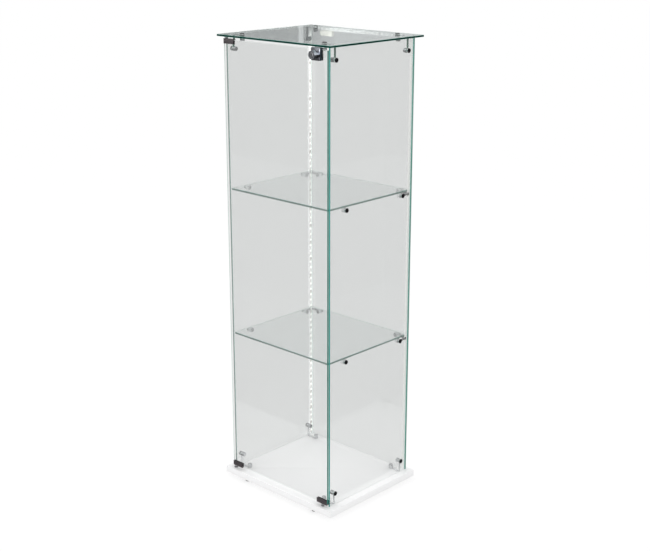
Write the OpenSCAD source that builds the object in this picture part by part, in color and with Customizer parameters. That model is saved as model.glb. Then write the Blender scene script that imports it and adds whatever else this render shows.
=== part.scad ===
// Tall glass display case. A white board on four glides carries two side panes, a back pane and a
// top pane, held at the corners by bent strips with screwed barrels. Inside are two glass shelves
// and strip lights. The glass door swings on two clip hinges and has a cylinder lock.
// Millimetres. X runs along the door, Y from the door to the back, Z up from the floor.
// The origin is on the floor, in the middle of the whole outline.

/* [Glass case] */
// Width across the two side panes, which is also the door's width
case_w = 368; // [330:2:450]
// Depth from the door's front face to the back of the back pane
case_d = 328; // [280:2:400]
// Height of the side and back panes
glass_h = 1220; // [1000:2:1500]
// Thickness of the door, side, back and shelf panes
pane_t = 5; // [4:0.5:6]
// Radius ground on the corners of the top pane, the door and the shelves
pane_corner_r = 2; // [0.5:0.5:4]

/* [Top pane] */
// How far the top pane reaches past each side pane
top_side_lip = 18; // [2:1:40]
// Thickness of the top pane
top_t = 5; // [4:0.5:8]
// How far the top pane reaches in front of the door
top_front_lip = 9; // [7:1:20]
// How far the top pane reaches behind the back pane
top_back_lip = 15; // [6:1:30]

/* [Base] */
// How far the base board reaches past each side pane
base_side_lip = 21; // [2:1:60]
// How far the base board reaches in front of the door and behind the back pane
base_end_lip = 11; // [2:1:60]
// Thickness of the base board
base_t = 18; // [16:1:30]
// Radius on the base board's upright edges
base_corner_r = 1.5; // [0.5:0.5:10]
// Diameter of a glide's flange
glide_d = 22; // [16:1:40]
// Height of a glide
glide_h = 10; // [6:1:25]
// Distance from the board's side edges to a glide's middle
glide_inset_x = 74; // [20:1:120]
// Distance from the board's front and back edges to a glide's middle
glide_inset_y = 18; // [14:1:50]
// Diameter of a glide's wood screw
glide_screw_d = 3.5; // [2.5:0.5:5]
// Head diameter of a glide's wood screw
glide_screw_head_d = 7; // [5:0.5:10]
// Length of a glide's wood screw in the board
glide_screw_l = 12; // [6:1:15]

/* [Shelves] */
// Height of the lower shelf's underside above the base board
lower_shelf_h = 405; // [150:1:480]
// Height of the upper shelf's underside above the base board
upper_shelf_h = 814; // [560:1:940]
// Gap between a shelf's side edge and the side pane
shelf_side_gap = 2.5; // [2.5:0.5:6]
// Gap between a shelf's back edge and the back pane
shelf_back_gap = 2; // [1:0.5:12]
// Distance from a side pane's front edge to a shelf's front pin
shelf_pin_inset = 60; // [30:1:100]
// Wall of the clear sleeve on a barrel that carries a shelf
sleeve_t = 0.5; // [0.3:0.1:1]

/* [Connectors] */
// Distance from an inside corner of the case to a connector's barrel
leg = 33; // [26:1:50]
// Distance from a side pane's front or back edge to a connector's middle
connector_inset = 20; // [16:1:50]
// Diameter of a barrel nut
barrel_d = 12; // [9:0.5:18]
// Length of a barrel nut
barrel_l = 10; // [7:0.5:20]
// Diameter of a screw's cap on the outside of the glass
cap_d = 12; // [9:0.5:18]
// Height of a screw's cap
cap_t = 2.5; // [2:0.5:5]
// Diameter of a connector's screw
screw_d = 4; // [3:0.5:5]
// Diameter of a hole through the glass
glass_hole_d = 8; // [7:0.5:10]
// Width of a connector's bent strip
strip_w = 6; // [4:0.5:9]
// Thickness of a connector's bent strip
strip_t = 1.5; // [1:0.1:2]
// Radius inside the strip's bend
strip_bend_r = 1.5; // [1:0.5:4]
// Thickness of the clear washers against the glass
washer_t = 0.5; // [0.3:0.1:1]
// Head diameter of the bolts under the base board
bolt_head_d = 8; // [7:0.5:12]
// Head height of the bolts under the base board
bolt_head_t = 3; // [2:0.5:5]
// Depth of the counterbore under the base board
bolt_sink = 6; // [5:0.5:10]

/* [Door hinges and catch] */
// Distance from the door's hinged edge to the pivots
pivot_inset = 6; // [6:0.5:12]
// Diameter of a pivot pin
pivot_d = 4; // [3:0.5:5]
// Diameter of a pivot bush in its hole
bush_d = 8; // [7:0.5:10]
// Diameter of a pivot bush's flange
bush_flange_d = 10; // [9:0.5:14]
// Thickness of a pivot bush's flange
bush_flange_t = 2; // [1:0.5:3]
// Depth of the bottom bush in the base board
bush_depth = 9; // [6:0.5:12]
// Length of a clip on a corner of the door
clip_l = 37; // [34:1:60]
// Height of a clip on a corner of the door
clip_h = 13; // [10:0.5:20]
// Wall thickness of a clip
clip_wall = 1.5; // [1:0.25:2]
// Distance from the door's side edge to the end of a clip
clip_end_inset = 0.5; // [0.5:0.5:3]
// Thickness of the rubber liner between a clip and the glass
liner_t = 0.5; // [0.3:0.1:1]
// Gap between the base board and the bottom clips
low_clip_gap = 8; // [7:0.5:15]
// Gap between the top clip and the top pane
high_clip_gap = 5; // [5:0.5:12]
// Diameter of the collar on a pivot pin
collar_d = 7; // [6:0.5:9]
// Diameter of the catch magnet
magnet_d = 7; // [5:0.5:9]
// Thickness of the catch magnet
magnet_t = 3; // [2:0.5:4]
// Diameter of the steel cup around the magnet
cup_d = 10; // [9:0.5:14]
// Height of the cup above the base board
cup_proud = 2; // [1:0.5:3]

/* [Lock] */
// Distance from the door's free edge to the lock's axis
lock_inset = 33; // [26:1:60]
// Distance from the door's top edge to the lock's axis
lock_drop = 12; // [12:0.5:30]
// Width of the lock's plates
lock_w = 30; // [28:1:40]
// Height of the lock's plates
lock_h = 31; // [28:1:40]
// Thickness of the lock's front plate
lock_plate_t = 7; // [4:0.5:10]
// Distance from the door's face to the lock's nose
lock_reach = 22; // [16:0.5:30]
// Diameter of the lock's round body
lock_body_d = 21; // [20:0.5:24]
// Diameter of the lock plug's face
plug_face_d = 13; // [12:0.5:15]
// Thickness of the lock plug's face
plug_face_t = 3; // [2:0.5:4]
// Diameter of the lock plug's shank
plug_d = 10; // [9:0.5:11]
// Width of the key slot
key_slot_w = 2; // [1.5:0.1:2.5]
// Height of the key slot
key_slot_h = 7.5; // [5:0.5:8]
// Depth of the key slot
key_slot_l = 18; // [12:0.5:22]
// Thickness of the lock's back plate
back_plate_t = 2; // [2:0.25:3]
// Thickness of the rubber gasket on each face of the glass
gasket_t = 0.3; // [0.2:0.1:0.6]
// Width of the cam
cam_w = 10; // [8:0.5:12]
// Thickness of the cam
cam_t = 2; // [1.5:0.25:3]
// Distance from the lock's axis to the cam's tip
cam_l = 14; // [13:0.5:15]
// Thickness of the keeper that the cam turns behind
keeper_t = 1.2; // [1:0.1:2]
// How far the keeper's tab hangs below the top pane
keeper_drop = 12; // [10:0.5:13]

/* [Lights] */
// Width of a light tape
tape_w = 8; // [6:1:9]
// Thickness of a light tape
tape_t = 0.4; // [0.3:0.1:0.6]
// Lamps in each metre of tape
lamps_per_m = 60; // [30:30:120]
// Side of a square lamp
lamp_s = 5; // [3:0.5:6]
// Height of a lamp on the tape
lamp_t = 1.5; // [1:0.1:1.6]
// Gap between the back pane and the side tapes
tape_back_gap = 3; // [3:0.5:6]
// Gap between the base board and the side tapes
tape_low_gap = 6; // [3:1:40]
// Gap between the top pane and the side tapes
tape_high_gap = 13; // [12:1:40]
// Gap between a side pane and the end of the top tape
tape_end_gap = 14; // [10:1:40]
// Width of the light control box
control_w = 44; // [36:1:70]
// Height of the light control box
control_h = 14; // [13:0.5:20]
// Depth of the light control box
control_d = 9; // [8:0.5:11]
// Distance from the left side pane to the control box
control_inset = 39; // [30:1:120]
// Wall of the control box
control_wall = 1.2; // [0.8:0.1:2]
// Outside diameter of the power socket
socket_d = 8; // [7.5:0.5:9]
// Bore of the power socket
socket_bore_d = 5.5; // [5:0.1:6]
// Diameter of the power socket's contact pin
socket_pin_d = 2.1; // [1.5:0.1:2.5]

/* [Hidden] */
$fn = 48;

// Clearances and small shape values that everything shares
overcut = 1;
thread_gap = 0.05;
running_gap = 0.05;
slip_gap = 0.1;
glass_play = 0.2;
seat_gap = 0.3;
swing_gap = 0.6;
stop_gap = 0.4;
cam_gap = 0.5;
edge_break = 0.6;

// Levels and planes
half_w = case_w / 2;
base_w = case_w + 2 * base_side_lip;
base_d = case_d + 2 * base_end_lip;
top_w = case_w + 2 * top_side_lip;
top_d = top_front_lip + case_d + top_back_lip;
inner_x = half_w - pane_t;
back_reach = max(top_back_lip, base_end_lip);
door_y = lock_reach - (lock_reach + case_d + back_reach) / 2;
back_y = door_y + case_d;
back_inner_y = back_y - pane_t;
middle_y = door_y + case_d / 2;
case_z = glide_h + base_t;
top_z = case_z + glass_h;

// The door's hinged edge swings inwards past the side pane, which stands back to let it by
clip_reach = pane_t / 2 + liner_t + clip_wall;
clip_corner_r = norm([pivot_inset - clip_end_inset, clip_reach]);
glass_corner_r = norm([pivot_inset, pane_t / 2]);
stub_r = max(clip_corner_r, glass_corner_r);
pivot_x = -half_w + pivot_inset;
pivot_y = door_y + pane_t / 2;
stub_depth = sqrt(pow(stub_r, 2) - pow(pivot_inset - pane_t, 2));
side_front_y = pivot_y + stub_depth + swing_gap;
shelf_front_y = pivot_y + stub_r + 2 * swing_gap;
clip_seat = clip_wall + liner_t;
door_low_z = case_z + low_clip_gap + clip_seat;
door_high_z = top_z - high_clip_gap - clip_seat;
catch_x = half_w - clip_end_inset - clip_l / 2;

// Connectors
sides = [-1, 1];
connector_ys = [side_front_y + connector_inset, back_inner_y - connector_inset];
barrel_x = inner_x - leg;
shelf_zs = [case_z + lower_shelf_h, case_z + upper_shelf_h];
pin_zs = [for (z = shelf_zs) z - barrel_d / 2 - sleeve_t];
shelf_pin_y = side_front_y + shelf_pin_inset;
strip_stack = washer_t + strip_t;
barrel_end_wall = 2;
thread_l = barrel_l - barrel_end_wall;
socket_hex_d = 3;
socket_hex_depth = 1.4;

// Lock
lock_x = half_w - lock_inset;
lock_z = door_high_z - lock_drop;
lock_top_rise = 4.5;
lock_corner_r = 3;
notch_gap = 0.5;
notch_w = lock_body_d + 2 * notch_gap;
back_plate_y = door_y + pane_t + gasket_t;
keeper_y = back_plate_y + back_plate_t + stop_gap;
cam_y = keeper_y + keeper_t + cam_gap;
tail_s = 6;
stud_d = 4;
stud_l = 3;
plate_screw_d = 3;
plate_screw_head_d = 5.5;
plate_screw_l = 9;
plate_screw_offset = 7;
plate_screw_rise = 8.5;
wafer_count = 5;
wafer_t = 1;
wafer_w = 5;
wafer_pitch = 2.6;
wafer_start = 4;

// Lights
lamp_pitch = 1000 / lamps_per_m;
tape_front_y = back_inner_y - tape_back_gap - tape_w;
tape_low_z = case_z + tape_low_gap;
tape_high_z = top_z - tape_high_gap;
top_tape_half = inner_x - tape_end_gap;
top_tape_z = top_z - edge_break - tape_w;
bridge_rise = strip_stack + slip_gap;
bridge_half = strip_w / 2 + edge_break;
bridge_reach = bridge_half + bridge_rise;
control_x = -inner_x + control_inset;
control_z = top_tape_z - slip_gap - control_h;
control_corner_r = 3;
control_front_y = back_inner_y - control_d;
control_back_t = 1;
socket_x = control_x + control_w / 2;
socket_z = control_z + control_h / 2;
socket_hole_d = socket_d + 2;
lead_d = 1;
lead_bend_r = 2.5;

glass_colour = [0.72, 0.88, 0.84, 0.35];
clear_colour = [0.9, 0.93, 0.93, 0.6];

// ---------- Shapes that repeat ----------

// A rectangle with round corners, about its middle
module rounded_outline(w, d, r) {
    square([w - 2 * r, d], center = true);
    square([w, d - 2 * r], center = true);
    for (x = sides, y = sides)
        translate([x * (w / 2 - r), y * (d / 2 - r)]) circle(r = r);
}

// A round shape along +Z with both rims bevelled
module bevelled_rod(d, h, bevel) {
    rotate_extrude()
        polygon([[0, 0], [d / 2 - bevel, 0], [d / 2, bevel], [d / 2, h - bevel], [d / 2 - bevel, h], [0, h]]);
}

// A countersunk screw along +Z, with its flat head's face at the origin
module flat_head_screw(d, head_d, l) {
    cone_h = (head_d - d) / 2;
    difference() {
        union() {
            cylinder(d1 = head_d, d2 = d, h = cone_h);
            cylinder(d = d, h = l);
        }
        for (turn = [0, 90])
            rotate(turn) translate([-head_d / 4, -d / 8, -overcut])
                cube([head_d / 2, d / 4, overcut + cone_h / 2]);
    }
}

// The space that a countersunk screw needs
module flat_head_space(d, head_d, l, gap) {
    cone_h = (head_d - d) / 2;
    cylinder(d1 = head_d + 2 * gap, d2 = d + 2 * gap, h = cone_h);
    cylinder(d = d + 2 * gap, h = l);
    translate([0, 0, -overcut]) cylinder(d = head_d + 2 * gap, h = overcut);
}

// A quarter bend of a lead: it starts at the origin along +X and ends along +Y
module lead_bend() {
    translate([0, lead_bend_r, 0]) rotate(-90) rotate_extrude(angle = 90)
        translate([lead_bend_r, 0]) circle(d = lead_d);
}

module mirrored_x(side) {
    if (side < 0) mirror([1, 0, 0]) children();
    else children();
}

// ---------- Places on the panes: +Z points out of the case, with 0 on the glass's inner face ----------

module on_side_panes(which, ys, zs) {
    for (side = which, y = ys, z = zs)
        translate([side * inner_x, y, z]) rotate([0, side * 90, 0]) children();
}

module on_back_pane(zs) {
    for (side = sides, z = zs)
        translate([side * barrel_x, back_inner_y, z]) rotate([-90, 0, 0]) children();
}

module on_top_pane(which, ys) {
    for (side = which, y = ys)
        translate([side * barrel_x, y, top_z]) children();
}

module on_base_board() {
    for (side = sides, y = connector_ys)
        translate([side * barrel_x, y, case_z]) mirror([0, 0, 1]) children();
}

// ---------- Connector pieces in those places ----------

module glass_hole(t) {
    translate([0, 0, -overcut]) cylinder(d = glass_hole_d, h = t + 2 * overcut);
}

// Screw with a low round cap, from outside the glass into the barrel
module cap_screw(t, stack) {
    below = stack + thread_l - slip_gap;
    difference() {
        union() {
            translate([0, 0, t + washer_t]) bevelled_rod(cap_d, cap_t, edge_break);
            translate([0, 0, -below]) cylinder(d = screw_d, h = below + t + washer_t + edge_break);
        }
        translate([0, 0, t + washer_t + cap_t - socket_hex_depth])
            cylinder(d = socket_hex_d, h = socket_hex_depth + overcut, $fn = 6);
    }
}

// Round nut inside the case, below a stack of washer and strip
module barrel(stack) {
    translate([0, 0, -stack - barrel_l]) difference() {
        bevelled_rod(barrel_d, barrel_l, edge_break);
        translate([0, 0, barrel_end_wall])
            cylinder(d = screw_d + 2 * thread_gap, h = barrel_l);
    }
}

// Clear bush in the glass hole, with its flange under the cap
module glass_bush(t) {
    difference() {
        union() {
            translate([0, 0, t]) cylinder(d = cap_d, h = washer_t);
            cylinder(d = glass_hole_d - glass_play, h = t + washer_t / 2);
        }
        translate([0, 0, -overcut]) cylinder(d = screw_d + glass_play, h = t + 2 * overcut);
    }
}

module inner_washer() {
    translate([0, 0, -washer_t]) difference() {
        cylinder(d = barrel_d, h = washer_t);
        translate([0, 0, -overcut]) cylinder(d = screw_d + glass_play, h = washer_t + 2 * overcut);
    }
}

// Strip bent in an inside corner: the corner is at the origin and the case lies towards -X and -Z
module corner_strip() {
    outer_r = strip_bend_r + strip_t;
    leg_l = leg - washer_t - outer_r;
    difference() {
        union() {
            rotate([90, 0, 0]) linear_extrude(strip_w, center = true) {
                translate([-strip_stack, -leg]) square([strip_t, leg_l]);
                translate([-leg, -strip_stack]) square([leg_l, strip_t]);
                translate([-washer_t - outer_r, -washer_t - outer_r]) intersection() {
                    difference() {
                        circle(r = outer_r);
                        circle(r = strip_bend_r);
                    }
                    square(outer_r);
                }
            }
            translate([-strip_stack, 0, -leg]) rotate([0, 90, 0]) cylinder(d = barrel_d, h = strip_t);
            translate([-leg, 0, -strip_stack]) cylinder(d = barrel_d, h = strip_t);
        }
        translate([-strip_stack - overcut, 0, -leg]) rotate([0, 90, 0])
            cylinder(d = screw_d + glass_play, h = strip_t + 2 * overcut);
        translate([-leg, 0, -strip_stack - overcut])
            cylinder(d = screw_d + glass_play, h = strip_t + 2 * overcut);
    }
}

module shelf_barrel_places() {
    on_side_panes(sides, [back_inner_y - leg], pin_zs) children();
    on_back_pane(pin_zs) children();
}

// ---------- Base ----------

module base_board() {
    color("white") difference() {
        translate([0, middle_y, glide_h]) linear_extrude(base_t)
            rounded_outline(base_w, base_d, base_corner_r);
        on_base_board() {
            translate([0, 0, -overcut]) cylinder(d = screw_d + glass_play, h = base_t + 2 * overcut);
            translate([0, 0, base_t - bolt_sink])
                cylinder(d = bolt_head_d + 2 * glass_play, h = bolt_sink + overcut);
        }
        translate([pivot_x, pivot_y, case_z - bush_depth])
            cylinder(d = bush_d + 2 * slip_gap, h = bush_depth + overcut);
        translate([catch_x, pivot_y, case_z - magnet_t])
            cylinder(d = cup_d + 2 * slip_gap, h = magnet_t + overcut);
        at_glides() translate([0, 0, glide_h])
            cylinder(d = glide_screw_d + 2 * thread_gap, h = glide_screw_l + slip_gap);
    }
}

module at_glides() {
    for (x = sides, y = sides)
        translate([x * (base_w / 2 - glide_inset_x), middle_y + y * (base_d / 2 - glide_inset_y), 0])
            children();
}

glide_foot_d = glide_d * 0.82;
glide_flange_t = 2.5;
glide_rim = 1.5;
glide_head_sink = 3;

module glides() {
    color("dimgray") at_glides() difference() {
        rotate_extrude() polygon([[0, 0], [glide_foot_d / 2 - glide_rim, 0], [glide_foot_d / 2, glide_rim],
            [glide_foot_d / 2, glide_h - glide_flange_t], [glide_d / 2, glide_h - glide_flange_t],
            [glide_d / 2, glide_h], [0, glide_h]]);
        translate([0, 0, glide_head_sink])
            flat_head_space(glide_screw_d, glide_screw_head_d, glide_h, slip_gap);
        translate([0, 0, -overcut])
            cylinder(d = glide_screw_head_d + 2 * slip_gap, h = glide_head_sink + overcut);
    }
}

module glide_screws() {
    color("silver") at_glides() translate([0, 0, glide_head_sink])
        flat_head_screw(glide_screw_d, glide_screw_head_d, glide_h - glide_head_sink + glide_screw_l);
}

// ---------- Panes ----------

module side_pane(side) {
    color(glass_colour) difference() {
        translate([side * (half_w - pane_t / 2), (side_front_y + back_inner_y) / 2, case_z])
            linear_extrude(glass_h) square([pane_t, back_inner_y - side_front_y], center = true);
        on_side_panes([side], connector_ys, [case_z + leg, top_z - leg]) glass_hole(pane_t);
        on_side_panes([side], [shelf_pin_y, back_inner_y - leg], pin_zs) glass_hole(pane_t);
    }
}

module left_pane() { side_pane(-1); }

module right_pane() { side_pane(1); }

module back_pane() {
    color(glass_colour) difference() {
        translate([0, back_y - pane_t / 2, case_z])
            linear_extrude(glass_h) square([case_w, pane_t], center = true);
        on_back_pane(pin_zs) glass_hole(pane_t);
        translate([socket_x, back_inner_y - overcut, socket_z]) rotate([-90, 0, 0])
            cylinder(d = socket_hole_d, h = pane_t + 2 * overcut);
    }
}

module top_pane() {
    color(glass_colour) difference() {
        translate([0, door_y - top_front_lip + top_d / 2, top_z])
            linear_extrude(top_t) rounded_outline(top_w, top_d, pane_corner_r);
        on_top_pane(sides, connector_ys) glass_hole(top_t);
        translate([pivot_x, pivot_y, top_z - overcut])
            cylinder(d = bush_d + 2 * slip_gap, h = top_t + 2 * overcut);
    }
}

module shelf(z) {
    w = 2 * (inner_x - shelf_side_gap);
    d = back_inner_y - shelf_back_gap - shelf_front_y;
    color(glass_colour) translate([0, shelf_front_y + d / 2, z])
        linear_extrude(pane_t) rounded_outline(w, d, pane_corner_r);
}

module upper_shelf() { shelf(shelf_zs[1]); }

module lower_shelf() { shelf(shelf_zs[0]); }

// ---------- Corner connectors ----------

module top_corner_strips() {
    color("silver") for (side = sides, y = connector_ys)
        mirrored_x(side) translate([inner_x, y, top_z]) corner_strip();
}

module base_corner_strips() {
    color("silver") for (side = sides, y = connector_ys)
        mirrored_x(side) translate([inner_x, y, case_z]) mirror([0, 0, 1]) corner_strip();
}

module shelf_corner_strips() {
    color("silver") for (side = sides, z = pin_zs)
        mirrored_x(side) translate([inner_x, back_inner_y, z]) rotate([-90, 0, 0]) corner_strip();
}

// The keeper lies between the strip and the barrel at the front right
function top_stack(side, y) = strip_stack + (side > 0 && y == connector_ys[0] ? keeper_t : 0);

module top_barrels() {
    color("silver") {
        on_side_panes(sides, connector_ys, [top_z - leg]) barrel(strip_stack);
        for (side = sides, y = connector_ys)
            on_top_pane([side], [y]) barrel(top_stack(side, y));
    }
}

module top_cap_screws() {
    color("black") {
        on_side_panes(sides, connector_ys, [top_z - leg]) cap_screw(pane_t, strip_stack);
        for (side = sides, y = connector_ys)
            on_top_pane([side], [y]) cap_screw(top_t, top_stack(side, y));
    }
}

module base_barrels() {
    color("silver") on_side_panes(sides, connector_ys, [case_z + leg]) barrel(strip_stack);
}

module base_cap_screws() {
    color("black") on_side_panes(sides, connector_ys, [case_z + leg]) cap_screw(pane_t, strip_stack);
}

module base_bosses() {
    color("silver") on_base_board() barrel(strip_stack);
}

module base_bolts() {
    below = strip_stack + thread_l - slip_gap;
    head_z = base_t - bolt_sink;
    color("silver") on_base_board() difference() {
        union() {
            translate([0, 0, -below]) cylinder(d = screw_d, h = below + head_z + edge_break);
            translate([0, 0, head_z]) bevelled_rod(bolt_head_d, bolt_head_t, edge_break);
        }
        translate([0, 0, head_z + bolt_head_t - socket_hex_depth])
            cylinder(d = socket_hex_d, h = socket_hex_depth + overcut, $fn = 6);
    }
}

module shelf_barrels() {
    color("silver") shelf_barrel_places() barrel(strip_stack);
}

module shelf_cap_screws() {
    color("black") shelf_barrel_places() cap_screw(pane_t, strip_stack);
}

module shelf_pins() {
    color("silver") on_side_panes(sides, [shelf_pin_y], pin_zs) barrel(washer_t);
}

module shelf_pin_screws() {
    color("black") on_side_panes(sides, [shelf_pin_y], pin_zs) cap_screw(pane_t, washer_t);
}

// Clear sleeves on the barrels that the shelves lie on
module sleeve(stack) {
    sleeve_l = barrel_l - 2 * edge_break;
    translate([0, 0, -stack - barrel_l + edge_break]) difference() {
        cylinder(d = barrel_d + 2 * sleeve_t, h = sleeve_l);
        translate([0, 0, -overcut]) cylinder(d = barrel_d, h = sleeve_l + 2 * overcut);
    }
}

module shelf_sleeves() {
    color(clear_colour) {
        shelf_barrel_places() sleeve(strip_stack);
        on_side_panes(sides, [shelf_pin_y], pin_zs) sleeve(washer_t);
    }
}

module glass_bushes() {
    color(clear_colour) {
        on_side_panes(sides, connector_ys, [case_z + leg, top_z - leg]) glass_bush(pane_t);
        on_side_panes(sides, [shelf_pin_y, back_inner_y - leg], pin_zs) glass_bush(pane_t);
        on_back_pane(pin_zs) glass_bush(pane_t);
        on_top_pane(sides, connector_ys) glass_bush(top_t);
    }
}

module inner_washers() {
    color(clear_colour) {
        on_side_panes(sides, connector_ys, [case_z + leg, top_z - leg]) inner_washer();
        on_side_panes(sides, [shelf_pin_y, back_inner_y - leg], pin_zs) inner_washer();
        on_back_pane(pin_zs) inner_washer();
        on_top_pane(sides, connector_ys) inner_washer();
        on_base_board() inner_washer();
    }
}

// ---------- Pivots and catch on the case ----------

module pivot_bush(depth) {
    difference() {
        union() {
            translate([0, 0, -depth]) cylinder(d = bush_d, h = depth + edge_break);
            cylinder(d = bush_flange_d, h = bush_flange_t);
        }
        translate([0, 0, -depth + overcut])
            cylinder(d = pivot_d + 2 * running_gap, h = depth + bush_flange_t);
    }
}

module bottom_pivot_bush() {
    color("gray") translate([pivot_x, pivot_y, case_z]) pivot_bush(bush_depth);
}

module top_pivot_bush() {
    color("gray") translate([pivot_x, pivot_y, top_z]) mirror([0, 0, 1]) pivot_bush(top_t);
}

module catch_cup() {
    cup_h = magnet_t + cup_proud;
    color("silver") translate([catch_x, pivot_y, case_z - magnet_t]) difference() {
        bevelled_rod(cup_d, cup_h, edge_break);
        translate([0, 0, cup_h - magnet_t])
            cylinder(d = magnet_d + 2 * slip_gap, h = magnet_t + overcut);
    }
}

module catch_magnet() {
    color("dimgray") translate([catch_x, pivot_y, case_z + cup_proud - magnet_t])
        cylinder(d = magnet_d, h = magnet_t);
}

// Strip that hangs a tab behind the lock, clamped by the front right connector
module lock_keeper() {
    keeper_z = top_z - strip_stack - keeper_t;
    tab_x = barrel_x - strip_w / 2;
    tab_end = lock_x + cam_w / 2 + stop_gap;
    color("silver") difference() {
        union() {
            translate([barrel_x, connector_ys[0], keeper_z]) cylinder(d = barrel_d, h = keeper_t);
            translate([tab_x, keeper_y, keeper_z]) cube([strip_w, connector_ys[0] - keeper_y, keeper_t]);
            translate([tab_x, keeper_y, top_z - keeper_drop])
                cube([tab_end - tab_x, keeper_t, keeper_z + keeper_t - top_z + keeper_drop]);
        }
        translate([barrel_x, connector_ys[0], keeper_z - overcut])
            cylinder(d = screw_d + glass_play, h = keeper_t + 2 * overcut);
    }
}

// ---------- Lights ----------

// A tape's section, as distance from the side pane and height, stepping over the shelf connectors
function tape_face(stand_off) = concat(
    [[stand_off, tape_low_z]],
    [for (z = pin_zs, step = [[0, -bridge_reach], [bridge_rise, -bridge_half],
        [bridge_rise, bridge_half], [0, bridge_reach]]) [stand_off + step[0], z + step[1]]],
    [[stand_off, tape_high_z]]);

function reversed(points) = [for (i = [len(points) - 1 : -1 : 0]) points[i]];

module side_tape(side) {
    outline = concat(tape_face(0), reversed(tape_face(tape_t)));
    mirrored_x(side) translate([inner_x, tape_front_y + tape_w, 0]) rotate([90, 0, 0])
        linear_extrude(tape_w) polygon([for (p = outline) [-p[0], p[1]]]);
}

module left_light_tape() { color("white") side_tape(-1); }

module right_light_tape() { color("white") side_tape(1); }

module top_light_tape() {
    color("white") translate([-top_tape_half, back_inner_y - tape_t, top_tape_z])
        cube([2 * top_tape_half, tape_t, tape_w]);
}

// Lamps stand off where the tape steps over a connector
function clear_of_bridges(z) =
    min([for (pin_z = pin_zs) abs(z - pin_z)]) > bridge_reach + lamp_s / 2;

module side_lamps(side) {
    last = floor((tape_high_z - tape_low_z) / lamp_pitch) - 1;
    for (i = [0 : last]) {
        z = tape_low_z + (i + 0.5) * lamp_pitch;
        if (clear_of_bridges(z))
            mirrored_x(side)
                translate([inner_x - tape_t - lamp_t, tape_front_y + (tape_w - lamp_s) / 2, z - lamp_s / 2])
                    cube([lamp_t, lamp_s, lamp_s]);
    }
}

module left_lamps() { color("ivory") side_lamps(-1); }

module right_lamps() { color("ivory") side_lamps(1); }

module top_lamps() {
    last = floor(2 * top_tape_half / lamp_pitch) - 1;
    color("ivory") for (i = [0 : last])
        translate([-top_tape_half + (i + 0.5) * lamp_pitch - lamp_s / 2,
            back_inner_y - tape_t - lamp_t, top_tape_z + (tape_w - lamp_s) / 2])
            cube([lamp_s, lamp_t, lamp_s]);
}

// The control box stands on the back pane: +Z of these shapes points at the door
module on_control_box() {
    translate([control_x + control_w / 2, back_inner_y, control_z + control_h / 2])
        rotate([90, 0, 0]) children();
}

module control_case() {
    color("ivory") on_control_box() difference() {
        translate([0, 0, control_back_t + slip_gap])
            linear_extrude(control_d - control_back_t - slip_gap)
                rounded_outline(control_w, control_h, control_corner_r);
        linear_extrude(control_d - control_wall)
            rounded_outline(control_w - 2 * control_wall, control_h - 2 * control_wall,
                control_corner_r - control_wall);
    }
}

module control_back() {
    color("ivory") on_control_box() difference() {
        linear_extrude(control_back_t) rounded_outline(control_w, control_h, control_corner_r);
        translate([0, 0, -overcut]) cylinder(d = socket_d + 2 * slip_gap, h = control_back_t + 2 * overcut);
    }
}

circuit_t = 1;
circuit_margin = 0.6;
circuit_rise = control_back_t + slip_gap;
chip_w = 8;
chip_d = 5;
chip_t = 1.4;
chip_offset = 12;

module control_circuit() {
    color("seagreen") on_control_box() translate([0, 0, circuit_rise]) {
        difference() {
            linear_extrude(circuit_t)
                square([control_w - 2 * (control_wall + circuit_margin),
                    control_h - 2 * (control_wall + circuit_margin)], center = true);
            translate([0, 0, -overcut]) cylinder(d = socket_d + 2 * slip_gap, h = circuit_t + 2 * overcut);
        }
        for (side = sides)
            translate([side * chip_offset - chip_w / 2, -chip_d / 2, circuit_t]) cube([chip_w, chip_d, chip_t]);
    }
}

// Socket for a round plug, let into the control box and open at the back of the glass
socket_flange_t = 1.2;
socket_flange_extra = 2;
socket_floor = 1.5;

module power_socket() {
    inside = circuit_rise + circuit_t + socket_flange_t;
    color("black") on_control_box() difference() {
        union() {
            translate([0, 0, -pane_t]) cylinder(d = socket_d, h = pane_t + inside);
            translate([0, 0, circuit_rise + circuit_t])
                cylinder(d = socket_d + socket_flange_extra, h = socket_flange_t);
        }
        translate([0, 0, -pane_t - overcut]) difference() {
            cylinder(d = socket_bore_d, h = pane_t + inside - socket_floor + overcut);
            cylinder(d = socket_pin_d, h = pane_t + inside + overcut);
        }
    }
}

// Leads round the back corners, from the top tape to the side tapes
module light_leads() {
    lead_y = back_inner_y - lead_d / 2 - slip_gap;
    lead_x = inner_x - lead_d / 2 - slip_gap;
    lead_z = top_tape_z + tape_w / 2;
    tape_mid_y = tape_front_y + tape_w / 2;
    color("white") for (side = sides)
        mirrored_x(side) {
            translate([top_tape_half, lead_y, lead_z]) rotate([0, 90, 0])
                cylinder(d = lead_d, h = lead_x - lead_bend_r - top_tape_half);
            translate([lead_x - lead_bend_r, lead_y, lead_z]) mirror([0, 1, 0]) lead_bend();
            translate([lead_x, lead_y - lead_bend_r, lead_z]) rotate([90, 0, 0])
                cylinder(d = lead_d, h = lead_y - tape_mid_y - 2 * lead_bend_r);
            translate([lead_x, tape_mid_y + lead_bend_r, lead_z]) rotate([-90, 0, -90]) lead_bend();
            translate([lead_x, tape_mid_y, tape_high_z])
                cylinder(d = lead_d, h = lead_z - lead_bend_r - tape_high_z);
        }
}

// ---------- Door ----------

module door_pane() {
    door_h = door_high_z - door_low_z;
    color(glass_colour) difference() {
        translate([0, door_y + pane_t, door_low_z + door_h / 2]) rotate([90, 0, 0])
            linear_extrude(pane_t) rounded_outline(case_w, door_h, pane_corner_r);
        translate([lock_x, door_y - overcut, lock_z]) rotate([-90, 0, 0]) {
            cylinder(d = notch_w, h = pane_t + 2 * overcut);
            translate([-notch_w / 2, -lock_drop - overcut, 0])
                cube([notch_w, lock_drop + overcut, pane_t + 2 * overcut]);
        }
    }
}

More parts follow.
